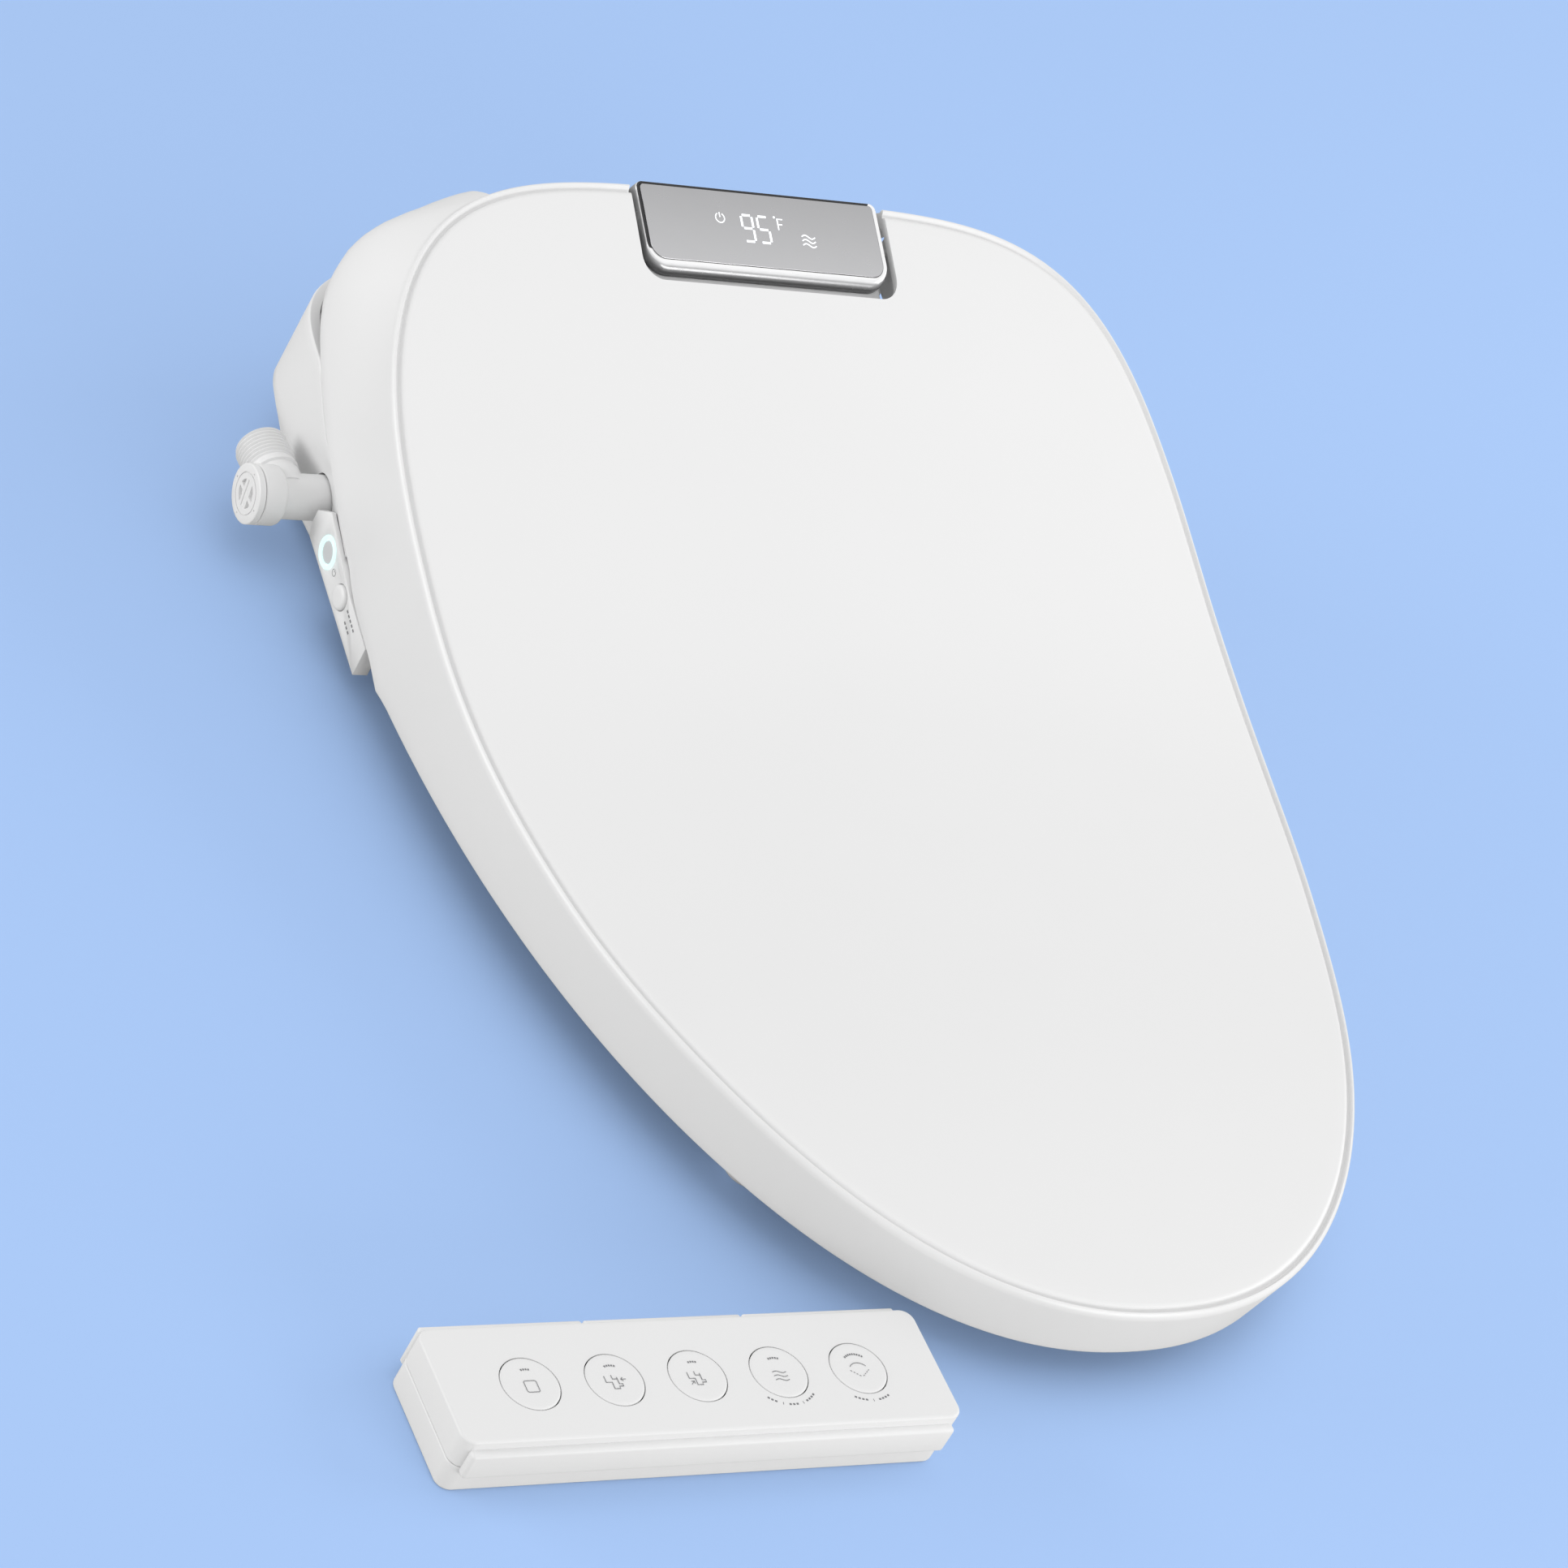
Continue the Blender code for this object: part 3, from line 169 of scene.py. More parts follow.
# ---------------------------------------------------------------- materials
class Look:
    """A material in the making: its shader and the nodes that feed it."""

    def __init__(self, name):
        self.made = bpy.data.materials.new(name)
        self.made.use_nodes = True
        self.tree = self.made.node_tree
        self.shader = self.tree.nodes["Principled BSDF"]

    def node(self, kind, source=None, **values):
        """A new node, its sockets set by name and a source led into its first one."""
        made = self.tree.nodes.new(f"ShaderNode{kind}")
        fill(made, values)
        if source:
            self.tree.links.new(source, made.inputs[0])
        return made

    def settings(self, **values):
        fill(self.shader, values)

    def feed(self, source, socket):
        self.tree.links.new(source, self.shader.inputs[socket])

    def space(self):
        """The piece's own space."""
        return self.node("TexCoord").outputs["Object"]

    def noise(self, scale, detail=2.0, stretch=None):
        """Noise in the piece's own space, stretched along an axis where asked."""
        place = self.space()
        if stretch:
            place = self.node("Mapping", place, Scale=stretch).outputs["Vector"]
        return self.node("TexNoise", place, Scale=scale, Detail=detail).outputs["Fac"]

    def gloss(self, source, low, high):
        """Let the middle of a noise's range move the roughness between two limits."""
        ramp = self.node("MapRange", source, From_Min=0.3, From_Max=0.7, To_Min=low, To_Max=high)
        self.feed(ramp.outputs["Result"], "Roughness")

    def tones(self, source, dark, light, start=0.35, end=0.65, socket="Base Color"):
        """Lead a value into a colour socket as a run between two colours."""
        ramp = self.node("ValToRGB", source)
        for stop, place, colour in zip(ramp.color_ramp.elements, (start, end), (dark, light)):
            stop.position = place
            stop.color = (*colour, 1.0)
        self.feed(ramp.outputs["Color"], socket)
        return ramp.color_ramp.elements

    def bump(self, source, strength, distance):
        made = self.node("Bump", Strength=strength, Distance=distance)
        self.tree.links.new(source, made.inputs["Height"])
        self.feed(made.outputs["Normal"], "Normal")


def fill(node, values):
    """Set a node's sockets by name, an underscore standing for a space."""
    for key, value in values.items():
        node.inputs[key.replace("_", " ")].default_value = value


def moulded(name, colour, roughness, coat=0.0, grain=3200.0, depth=0.00002, strength=0.25, vary=0.02):
    """Moulded plastic: a fine grain, a slow change of tone and a slow change of gloss."""
    look = Look(name)
    look.tones(look.noise(9.0), tuple(max(c - vary, 0.0) for c in colour), colour)
    look.gloss(look.noise(60.0, 4.0), roughness - 0.03, roughness + 0.04)
    look.bump(look.noise(grain, 1.0), strength, depth)
    if coat:
        look.settings(Coat_Weight=coat, Coat_Roughness=0.12)
    return look.made


def brushed(name, colour, roughness, stretch):
    """Drawn or brushed metal: streaks along one axis."""
    look = Look(name)
    streak = look.noise(700.0, 3.0, stretch)
    look.tones(streak, tuple(c * 0.82 for c in colour), colour)
    look.gloss(streak, roughness - 0.06, roughness + 0.08)
    look.bump(streak, 0.15, 0.00001)
    look.settings(Metallic=1.0)
    return look.made


def glowing(name, colour, strength, edge):
    """A lit lens: brighter and dimmer in slow patches."""
    look = Look(name)
    look.tones(look.noise(300.0), tuple(c * edge for c in colour), colour, socket="Emission Color")
    unlit = (*(c * 0.3 for c in colour), 1.0)
    look.settings(Base_Color=unlit, Emission_Strength=strength, Roughness=0.2)
    return look.made


def circuit(name):
    """A circuit board: green mask with paler tracks and a slight relief."""
    look = Look(name)
    mask, other, track = (0.012, 0.13, 0.055, 1.0), (0.016, 0.16, 0.07, 1.0), (0.06, 0.30, 0.14, 1.0)
    greens = dict(Color1=mask, Color2=other, Mortar=track)
    tracks = look.node("TexBrick", look.space(), Scale=260.0, Mortar_Size=0.05, **greens)
    look.feed(tracks.outputs["Color"], "Base Color")
    look.bump(tracks.outputs["Fac"], 0.3, 0.00004)
    look.settings(Roughness=0.38)
    return look.made


def heater_foil(name):
    """Copper-coloured foil with the heater's tracks pressed into it."""
    look = Look(name)
    wave = look.node("TexWave", look.space(), Scale=45.0, Distortion=1.5)
    wave.wave_type = "RINGS"
    look.tones(wave.outputs["Fac"], (0.80, 0.80, 0.82), (0.72, 0.42, 0.22))
    look.bump(wave.outputs["Fac"], 0.4, 0.0001)
    look.settings(Metallic=1.0, Roughness=0.35)
    return look.made


def porous(name):
    """A block of carbon honeycomb: black carbon, its cells painted near-black as painted shade in the
    holes, with paler walls.
    """
    look = Look(name)
    cells = look.node("TexVoronoi", look.space(), Scale=420.0)
    cells.feature = "DISTANCE_TO_EDGE"
    # painted shade: the cells' centres go near-black, standing in for the depth of the holes
    look.tones(cells.outputs["Distance"], (0.09, 0.09, 0.09), (0.004, 0.004, 0.004), 0.02, 0.12)
    look.bump(cells.outputs["Distance"], 0.8, 0.0004)
    look.settings(Roughness=0.9)
    return look.made


def mirror_window(name):
    """The display's window: silver behind clear lacquer, with a painted reflection that runs darker
    towards its back edge.
    """
    look = Look(name)
    axes = look.node("SeparateXYZ", look.space())
    # painted reflection: the colour runs from lighter at the front edge to darker at the back
    run = look.node("MapRange", axes.outputs["Y"], From_Min=DISPLAY_FRONT.y, From_Max=DISPLAY_BACK.y)
    look.tones(run.outputs["Result"], (0.56, 0.56, 0.57), (0.43, 0.43, 0.44), 0.0, 1.0)
    look.gloss(look.noise(120.0, 3.0), 0.27, 0.31)
    look.settings(Metallic=1.0, Coat_Weight=0.25, Coat_Roughness=0.04)
    return look.made


def rim_painted_highlight(name):
    """The display's rim: a painted highlight along its upper edge and a painted reflection running
    darker down its rolled side.
    """
    look = Look(name)
    rise = DISPLAY_BACK - DISPLAY_FRONT
    tilt = math.atan2(rise.z, rise.y)
    face = DISPLAY_FRONT.z * math.cos(tilt) - DISPLAY_FRONT.y * math.sin(tilt)
    level = look.node("Mapping", look.space(), Rotation=(-tilt, 0.0, 0.0))
    axes = look.node("SeparateXYZ", level.outputs["Vector"])
    # painted highlight and painted reflection: bright at the top of the face, running darker down the
    # rolled side
    run = look.node("MapRange", axes.outputs["Z"], From_Min=face - 0.0050, From_Max=face)
    stops = look.tones(run.outputs["Result"], (0.14, 0.14, 0.142), (0.95, 0.95, 0.95), 0.0, 1.0)
    for where, tone in ((0.30, 0.27), (0.60, 0.36), (0.82, 0.50), (0.90, 0.95)):
        stops.new(where).color = (tone, tone, tone * 1.01, 1.0)
    look.gloss(look.noise(240.0, 4.0), 0.20, 0.28)
    look.settings(Metallic=0.55)
    return look.made


def painted_floor(name):
    """A sheet that is pale blue to look at and throws neutral light back on what stands on it."""
    look = Look(name)
    seen = look.node("LightPath").outputs["Is Camera Ray"]
    look.tones(seen, (0.60, 0.60, 0.60), (0.425, 0.615, 0.975), 0.0, 1.0)
    look.settings(Roughness=0.9, Specular_IOR_Level=0.1)
    return look.made


SHELL_SKIN = dict(coat=0.15, grain=1500.0, depth=0.00001, strength=0.12, vary=0.006)
LOOKS = {
    "white_shell": moulded("shell_white", (0.86, 0.86, 0.86), 0.34, **SHELL_SKIN),
    "white_satin": moulded("satin_white", (0.82, 0.82, 0.825), 0.46, strength=0.3, vary=0.01),
    "grey_plastic": moulded("grey_moulding", (0.42, 0.43, 0.45), 0.50, vary=0.03),
    "dark_plastic": moulded("dark_moulding", (0.035, 0.035, 0.04), 0.48, depth=0.00004, vary=0.012),
    "display_silver": mirror_window("silver_window"),
    "chrome_trim": rim_painted_highlight("rim_painted_highlight"),
    "ring_lens": glowing("lit_ring", (0.72, 0.99, 0.97), 0.95, 0.94),
    "steel": brushed("drawn_steel", (0.62, 0.63, 0.65), 0.30, (0.05, 1.0, 1.0)),
    "rubber": moulded("soft_rubber", (0.62, 0.62, 0.63), 0.78, 0.0, 2200.0, 0.00005, 0.4),
    "circuit_green": circuit("circuit_mask"),
    "copper_foil": heater_foil("pressed_foil"),
    "carbon": porous("carbon_honeycomb"),
    "cell_label": moulded("cell_wrap", (0.10, 0.11, 0.13), 0.30, coat=0.4, vary=0.03),
}
KEY_GREY = moulded("key_grey", (0.66, 0.67, 0.68), 0.36, coat=0.2, vary=0.02)
PRINT_GREY = moulded("print_grey", (0.22, 0.22, 0.23), 0.6, vary=0.02)
LED_WHITE = glowing("led_white", (0.93, 0.96, 1.0), 1.5, 0.95)
CHIP_BLACK = moulded("chip_black", (0.02, 0.02, 0.022), 0.5, vary=0.008)
REMOTE_WHITE = moulded("remote_white", (0.85, 0.85, 0.85), 0.42, coat=0.05, grain=2600.0, vary=0.006)


# ---------------------------------------------------------------- mesh helpers
def from_faces(name, points, faces, look=None, sharp=35):
    """A new piece from points and faces, its faces turned outwards."""
    mesh = bpy.data.meshes.new(name)
    mesh.from_pydata([tuple(p) for p in points], [], faces)
    work = bmesh.new()
    work.from_mesh(mesh)
    bmesh.ops.recalc_face_normals(work, faces=work.faces)
    work.to_mesh(mesh)
    work.free()
    piece = bpy.data.objects.new(name, mesh)
    bpy.context.scene.collection.objects.link(piece)
    shade(piece, sharp)
    if look:
        mesh.materials.append(look)
    return piece


def shade(piece, sharp=35):
    piece.data.shade_smooth()
    piece.data.set_sharp_from_angle(angle=math.radians(sharp))


def loft(name, rings, look=None, closed=False, sharp=35):
    """Skin rings of equal length; closed joins the last ring to the first, else both ends are capped."""
    count = len(rings[0])
    points = [p for ring in rings for p in ring]
    faces = []
    for k in range(len(rings) if closed else len(rings) - 1):
        low, high = k * count, ((k + 1) % len(rings)) * count
        for i in range(count):
            j = (i + 1) % count
            faces.append((low + i, low + j, high + j, high + i))
    if not closed:
        faces.append(tuple(reversed(range(count))))
        faces.append(tuple(range(len(points) - count, len(points))))
    return from_faces(name, points, faces, look, sharp)


def prism(name, outline, low, high, look=None, axis="Z"):
    """Extrude a flat outline along an axis: (y, z) points for X, (x, z) for Y and (x, y) for Z."""
    place = {
        "X": lambda a, b, c: (c, a, b),
        "Y": lambda a, b, c: (a, c, b),
        "Z": lambda a, b, c: (a, b, c),
    }[axis]
    return loft(name, [[place(a, b, c) for a, b in outline] for c in (low, high)], look)


def block(name, low, high, look=None):
    (x0, y0, z0), (x1, y1, z1) = low, high
    return prism(name, [(x0, y0), (x1, y0), (x1, y1), (x0, y1)], z0, z1, look)


def turned(name, start, end, profile, look=None, sides=64):
    """A turned piece on the line from start to end; its profile is (share along, radius) pairs."""
    a, b = Vector(start), Vector(end)
    basis = (b - a).to_track_quat("Z", "Y").to_matrix()
    rings = []
    for share, radius in profile:
        centre = a.lerp(b, share)
        ring = []
        for i in range(sides):
            turn = math.tau * i / sides
            ring.append(centre + basis @ Vector((radius * math.cos(turn), radius * math.sin(turn), 0.0)))
        rings.append(ring)
    return loft(name, rings, look, sharp=30)


def rod(name, start, end, radius, sides=64):
    """A plain round bar, to cut with."""
    return turned(name, start, end, [(0, radius), (1, radius)], None, sides)


def quarter(radius, steps):
    """How far a quarter round is in from one side and down from the other, at even turns."""
    turns = np.linspace(0, math.pi / 2, steps + 1)
    return [(radius * (1 - math.cos(a)), radius * (1 - math.sin(a))) for a in turns]


def both_sides(pair):
    """A span of x mirrored: the left one, then the right one."""
    return [sorted(side * x for x in pair) for side in (-1, 1)]


def tube_profile(length, radius, edge):
    """The profile of a round bar with rounded ends, for turned()."""
    front = [(along / length, radius - cut) for along, cut in quarter(edge, 4)]
    return front + [(1 - share, r) for share, r in reversed(front)]


def rounded(x0, x1, y0, y1, radius, steps=10):
    """A rectangle with round corners, as (x, y) points."""
    left, right, low, high = x0 + radius, x1 - radius, y0 + radius, y1 - radius
    points = []
    for index, (cx, cy) in enumerate(((right, high), (left, high), (left, low), (right, low))):
        for k in range(steps + 1):
            turn = math.pi / 2 * (index + k / steps)
            points.append((cx + radius * math.cos(turn), cy + radius * math.sin(turn)))
    return points


def settle(piece, sharp):
    """Apply every modifier on a piece."""
    graph = bpy.context.evaluated_depsgraph_get()
    mesh = bpy.data.meshes.new_from_object(piece.evaluated_get(graph))
    piece.modifiers.clear()
    piece.data = mesh
    shade(piece, sharp)
    return piece


def carve(piece, cutters=(), additions=()):
    """Cut and join helper shapes, apply the result and delete the helpers."""
    for operation, others in (("DIFFERENCE", cutters), ("UNION", additions)):
        for other in others:
            step = piece.modifiers.new(operation.lower(), "BOOLEAN")
            step.operation = operation
            step.object = other
            step.solver = "EXACT"
    looks = list(piece.data.materials)
    settle(piece, 35)
    piece.data.materials.clear()
    for look in looks:
        piece.data.materials.append(look)
    for face in piece.data.polygons:
        face.material_index = 0
    for other in (*cutters, *additions):
        bpy.data.objects.remove(other)
    return piece


def soften(piece, width, segments=3):
    """Round the sharp edges of a piece and apply it."""
    edge = piece.modifiers.new("edges", "BEVEL")
    edge.width = width
    edge.segments = segments
    edge.limit_method = "ANGLE"
    edge.angle_limit = math.radians(40)
    edge.harden_normals = True
    return settle(piece, 50)


def joined(name, pieces):
    """Several pieces as one object."""
    work = bmesh.new()
    looks = []
    for piece in pieces:
        start = len(work.faces)
        work.from_mesh(piece.data)
        work.faces.ensure_lookup_table()
        look = piece.data.materials[0]
        if look not in looks:
            looks.append(look)
        for face in work.faces[start:]:
            face.material_index = looks.index(look)
    mesh = bpy.data.meshes.new(name)
    work.to_mesh(mesh)
    work.free()
    for look in looks:
        mesh.materials.append(look)
    for piece in pieces:
        bpy.data.objects.remove(piece)
    made = bpy.data.objects.new(name, mesh)
    bpy.context.scene.collection.objects.link(made)
    shade(made)
    return made


def hold(piece, body, slot, *stands_for):
    """Ride on a body and hide the CAD nodes the piece stands for; the slot is not used."""
    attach(piece, body)
    if stands_for:
        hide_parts(*stands_for)
    return piece


def stand_in(piece, node):
    """Take a CAD node's place, on its body."""
    return hold(piece, BODY_OF[node], SLOT_OF[node], node)


def refine(node, width, *extras, look=None, segments=3):
    """Replace a CAD node with a softened copy, its flat faces merged first, and any extra detail."""
    piece = bpy.data.objects.new(f"{node}_soft", frame["nodes"][node].data.copy())
    bpy.context.scene.collection.objects.link(piece)
    work = bmesh.new()
    work.from_mesh(piece.data)
    bmesh.ops.remove_doubles(work, verts=work.verts, dist=1e-6)
    bmesh.ops.dissolve_limit(work, angle_limit=math.radians(2), verts=work.verts, edges=work.edges)
    work.to_mesh(piece.data)
    work.free()
    piece.data.materials.clear()
    piece.data.materials.append(look or LOOKS[SLOT_OF[node]])
    soften(piece, width, segments)
    if extras:
        piece = joined(f"{node}_detailed", [piece, *extras])
    return stand_in(piece, node)


# ---------------------------------------------------------------- flat print and lit signs
def ribbon(points, width, closed=False):
    """Corners of a flat line along points, as left and right pairs."""
    pts = [Vector(p) for p in points]
    pairs = []
    count = len(pts)
    for i, p in enumerate(pts):
        before = pts[(i - 1) % count] if closed or i > 0 else p
        after = pts[(i + 1) % count] if closed or i < count - 1 else p
        along = (after - before).normalized()
        if 0 < i < count - 1 or closed:
            first, second = (p - before).normalized(), (after - p).normalized()
            spread_out = 1.0 / max(math.sqrt((1 + first.dot(second)) / 2), 0.5)
        else:
            spread_out = 1.0
        side = Vector((-along.y, along.x)) * width / 2 * spread_out
        pairs.append((p - side, p + side))
    return pairs


def sign(name, strokes, width, to_face, look, body, slot):
    """Flat marks on a face. A stroke is a list of (u, v) points, closed where it ends where it began."""
    points, faces = [], []
    for stroke in strokes:
        closed = (Vector(stroke[0]) - Vector(stroke[-1])).length < 1e-6 and len(stroke) > 3
        pairs = ribbon(stroke[:-1] if closed else stroke, width, closed)
        start = len(points)
        for left, right in pairs:
            points += [to_face(left.x, left.y), to_face(right.x, right.y)]
        for i in range(len(pairs) if closed else len(pairs) - 1):
            a, b = start + 2 * i, start + 2 * ((i + 1) % len(pairs))
            faces.append((a, a + 1, b + 1, b))
    piece = from_faces(name, points, faces, look)
    outwards = Vector(to_face(0, 0, 1)) - Vector(to_face(0, 0))
    if sum((f.normal for f in piece.data.polygons), Vector()).dot(outwards) < 0:
        piece.data.flip_normals()
    return hold(piece, body, slot)


def arc(cx, cy, radius, start, end, steps=16):
    """Points on an arc, by angles in degrees."""
    turns = np.radians(np.linspace(start, end, steps + 1))
    return [(cx + radius * math.cos(a), cy + radius * math.sin(a)) for a in turns]


def wave_lines(cx, cy, length, rows, pitch, height):
    """Rows of single waves, a crest and then a trough."""
    lines = []
    for row in range(rows):
        y = cy + (row - (rows - 1) / 2) * pitch
        xs = np.linspace(-length / 2, length / 2, 25)
        lines.append([(cx + x, y + height * math.sin(x / length * math.tau + math.pi)) for x in xs])
    return lines


def power_mark(cx, cy, radius):
    """A broken circle with a bar through the break."""
    return [arc(cx, cy, radius, 120, 420, 24), [(cx, cy + radius * 0.15), (cx, cy + radius * 1.15)]]


# ---------------------------------------------------------------- outlines and heights
def curve_through(knots, at):
    """A smooth curve through (y, z) knots, held level past both ends."""
    ys, zs = [k[0] for k in knots], [k[1] for k in knots]
    if at <= ys[0]:
        return zs[0]
    if at >= ys[-1]:
        return zs[-1]
    k = max(i for i in range(len(ys) - 1) if ys[i] <= at)
    slopes = []
    for i in (k, k + 1):
        if 0 < i < len(ys) - 1:
            slopes.append((zs[i + 1] - zs[i - 1]) / (ys[i + 1] - ys[i - 1]))
        else:
            other = min(max(i, 1), len(ys) - 1)
            slopes.append((zs[other] - zs[other - 1]) / (ys[other] - ys[other - 1]))
    width = ys[k + 1] - ys[k]
    t = (at - ys[k]) / width
    start = (2 * t**3 - 3 * t**2 + 1) * zs[k] + (t**3 - 2 * t**2 + t) * width * slopes[0]
    return start + (3 * t**2 - 2 * t**3) * zs[k + 1] + (t**3 - t**2) * width * slopes[1]


def egg(shape, inset=0.0, count=600):
    """A closed egg outline as two arrays, from the tip round by +X, moved inwards by the inset."""
    half, front, back, p, q, m, k = shape
    turn = np.linspace(0.0, math.pi / 2, count)
    c, s = np.cos(turn), np.sin(turn)
    c[-1] = 0.0
    s[0] = 0.0
    front_x, front_y = half * c ** (2 / p), CENTRE_Y - front * s ** (2 / q)
    back_x, back_y = half * c ** (2 / m), CENTRE_Y + back * s ** (2 / k)
    x = np.concatenate([front_x[::-1], back_x[1:]])
    y = np.concatenate([front_y[::-1], back_y[1:]])
    x = np.concatenate([x, -x[-2:0:-1]])
    y = np.concatenate([y, y[-2:0:-1]])
    if inset:
        dx, dy = np.roll(x, -1) - np.roll(x, 1), np.roll(y, -1) - np.roll(y, 1)
        length = np.hypot(dx, dy)
        x, y = x - inset * dy / length, y + inset * dx / length
    return x, y


def spaced(shape, count):
    """Directions from the outline's centre to points evenly spaced along it, from the tip round."""
    x, y = egg(shape)
    step = np.hypot(np.roll(x, -1) - x, np.roll(y, -1) - y)
    travel = np.concatenate([[0.0], np.cumsum(step)])
    angle = np.unwrap(np.arctan2(x, CENTRE_Y - y))
    angle = np.concatenate([angle, [angle[0] + math.tau]])
    return np.interp(np.linspace(0, travel[-1], count, endpoint=False), travel, angle)


def outline(shape, angles, inset=0.0):
    """Points of an egg outline at given directions, as (x, y) pairs."""
    x, y = egg(shape, inset)
    reach = np.hypot(x, y - CENTRE_Y)
    angle = np.unwrap(np.arctan2(x, CENTRE_Y - y))
    angle = np.concatenate([angle - math.tau, angle, angle + math.tau])
    found = np.interp(angles, angle, np.concatenate([reach, reach, reach]))
    return [(r * math.sin(a), CENTRE_Y - r * math.cos(a)) for a, r in zip(angles, found)]


LID_ANGLES = spaced(LID_TOP, 288)


def edge_height(y):
    return curve_through(LID_EDGE, y)


def foot_height(x, y):
    """Lower edge of the lid's skirt: low in front, up along the seam, high across the back."""
    side = curve_through(SEAM, y)
    if y <= SEAM[-1][0]:
        return side
    inner = min(max((0.150 - abs(x)) / 0.020, 0.0), 1.0)
    return side + (REAR_FOOT_Z - side) * inner


def between(low, high, t):
    return tuple(a + (b - a) * t for a, b in zip(low, high))


# ---------------------------------------------------------------- lid
def top_ring(share=1.0, drop=0.0, inset=0.0):
    """A ring of the lid's top: a share of the way out from its centre, or an inset from its outline."""
    ring = []
    edge = outline(LID_TOP, LID_ANGLES)
    for (x, y), (ex, ey) in zip(outline(LID_TOP, LID_ANGLES, inset), edge):
        px, py = x * share, CENTRE_Y + (y - CENTRE_Y) * share
        part = math.hypot(px, py - CENTRE_Y) / math.hypot(ex, ey - CENTRE_Y)
        ring.append((px, py, edge_height(py) + LID_CROWN * (1 - part**2) - drop))
    return ring


def foot_ring(inset=0.0, lift=0.0):
    return [(x, y, foot_height(x, y) + lift) for x, y in outline(LID_FOOT, LID_ANGLES, inset)]


def wall_ring(share, top, foot):
    """A ring of the side wall a share of the way down; it rounds out at the back corners."""
    ring = []
    start, full = BULGE_Y
    for (x0, y0, z0), (x1, y1, z1) in zip(top, foot):
        back = min(max((y1 - start) / (full - start), 0.0), 1.0)
        out = 1 - (1 - share) ** (1 + BULGE * back)
        ring.append((x0 + (x1 - x0) * out, y0 + (y1 - y0) * out, z0 + (z1 - z0) * share))
    return ring


def knuckle_arc(degrees):
    turns = np.radians(degrees)
    return [(HINGE_Y + KNUCKLE_R * math.sin(t), HINGE_Z - KNUCKLE_R * math.cos(t)) for t in turns]


def hinge_bore(x0, x1):
    return rod("bore", (x0, HINGE_Y, HINGE_Z), (x1, HINGE_Y, HINGE_Z), BORE_R)


def lid():
    shares = (0.04, 0.12, 0.22, 0.32, 0.42, 0.52, 0.62, 0.71, 0.79, 0.86, 0.92, 0.96)
    rings = [top_ring(s) for s in shares]
    rings += [top_ring(1.0, drop, inset) for inset, drop in reversed(LID_ROLL)]
    brow, foot = top_ring(1.0, LID_ROLL[0][1]), foot_ring(0.0, 0.0010)
    falls = (0.03, 0.07, 0.12, 0.19, 0.28, 0.38, 0.5, 0.63, 0.76, 0.88, 1.0)
    rings += [wall_ring(t, brow, foot) for t in falls]
    rings += [foot_ring(0.0002, 0.0004), foot_ring(0.0008, 0.0), foot_ring(LID_WALL - 0.0008, 0.0)]
    under = top_ring(1.0, LID_WALL + 0.0035, LID_WALL + 0.0005)
    inside = foot_ring(LID_WALL, 0.0008)
    rings += [wall_ring(t, under, inside) for t in (1.0, 0.76, 0.5, 0.28, 0.12, 0.0)]
    rings += [top_ring(1.0, LID_WALL + 0.0010, LID_WALL + 0.0030)]
    rings += [top_ring(s, LID_WALL + 0.0005) for s in reversed(shares)]
    shell = loft("lid_shell_fine", rings, LOOKS["white_shell"])
    cutters = [prism("notch", rounded(-NOTCH_X, NOTCH_X, NOTCH_Y, 0.12, NOTCH_CORNER), 0.07, 0.17)]
    cutters += [prism("relief", RELIEF, x0, x1, axis="X") for x0, x1 in both_sides(RELIEF_X)]
    arms, bores = [], []
    sunk = 0.0015  # how far the arms reach into the top
    root_y, tip_y = HINGE_Y - 0.030, HINGE_Y + KNUCKLE_R * 0.8
    shape = [(root_y, edge_height(root_y) - sunk), (root_y, HINGE_Z - 0.0140)]
    shape += [(HINGE_Y - 0.010, HINGE_Z - 0.0100), *knuckle_arc(np.linspace(0, 110, 12))]
    shape.append((tip_y, edge_height(tip_y) - sunk))
    for x0, x1 in both_sides(LID_ARM_X):
        arms.append(soften(prism("lid_arm", shape, x0, x1, axis="X"), 0.0006, 2))
        bores.append(hinge_bore(x0 - 0.01, x1 + 0.001))
    carve(shell, cutters, arms)
    carve(shell, bores)
    stand_in(shell, "lid_shell")
    pad_shape = tube_profile(0.0058, 0.0062, 0.0012)
    for side, name in ((-1, "left"), (1, "right")):
        for where, y, x in LID_BUMPERS:
            top = edge_height(y) - LID_WALL
            start, end = (side * x, y, top + 0.0016), (side * x, y, top - 0.0042)
            pad = turned(f"lid_bumper_{where}_{name}", start, end, pad_shape, LOOKS["rubber"], 40)
            hold(pad, "lid", "rubber")


# ---------------------------------------------------------------- seat ring
def seat_lift(angle):
    start, full = SEAT_ARCH
    from_back = math.pi - abs(angle - math.pi)
    t = min(max((from_back - start) / (full - start), 0.0), 1.0)
    return SEAT_LIFT * t * t * (3 - 2 * t)


def seat_ring(inset, z):
    """The ring's outer edge: the skirt's outline moved in, cut off square at the back."""
    rear = SEAT_REAR_Y - inset
    points = []
    for x, y in outline(LID_FOOT, LID_ANGLES, SEAT_INSET + inset):
        if y > rear:
            x, y = x * (rear - CENTRE_Y) / (y - CENTRE_Y), rear
        points.append((x, y))
    limit = max(abs(x) for x, _ in points) - 0.008
    ring = []
    for (x, y), a in zip(points, LID_ANGLES):
        if y >= rear - 1e-6 and abs(x) > limit:
            x = math.copysign(limit, x)
        ring.append((x, y, z + seat_lift(a)))
    return ring


def hole_ring(inset, z):
    hole = outline(SEAT_HOLE, LID_ANGLES, inset)
    return [(x, y, z + seat_lift(a)) for (x, y), a in zip(hole, LID_ANGLES)]


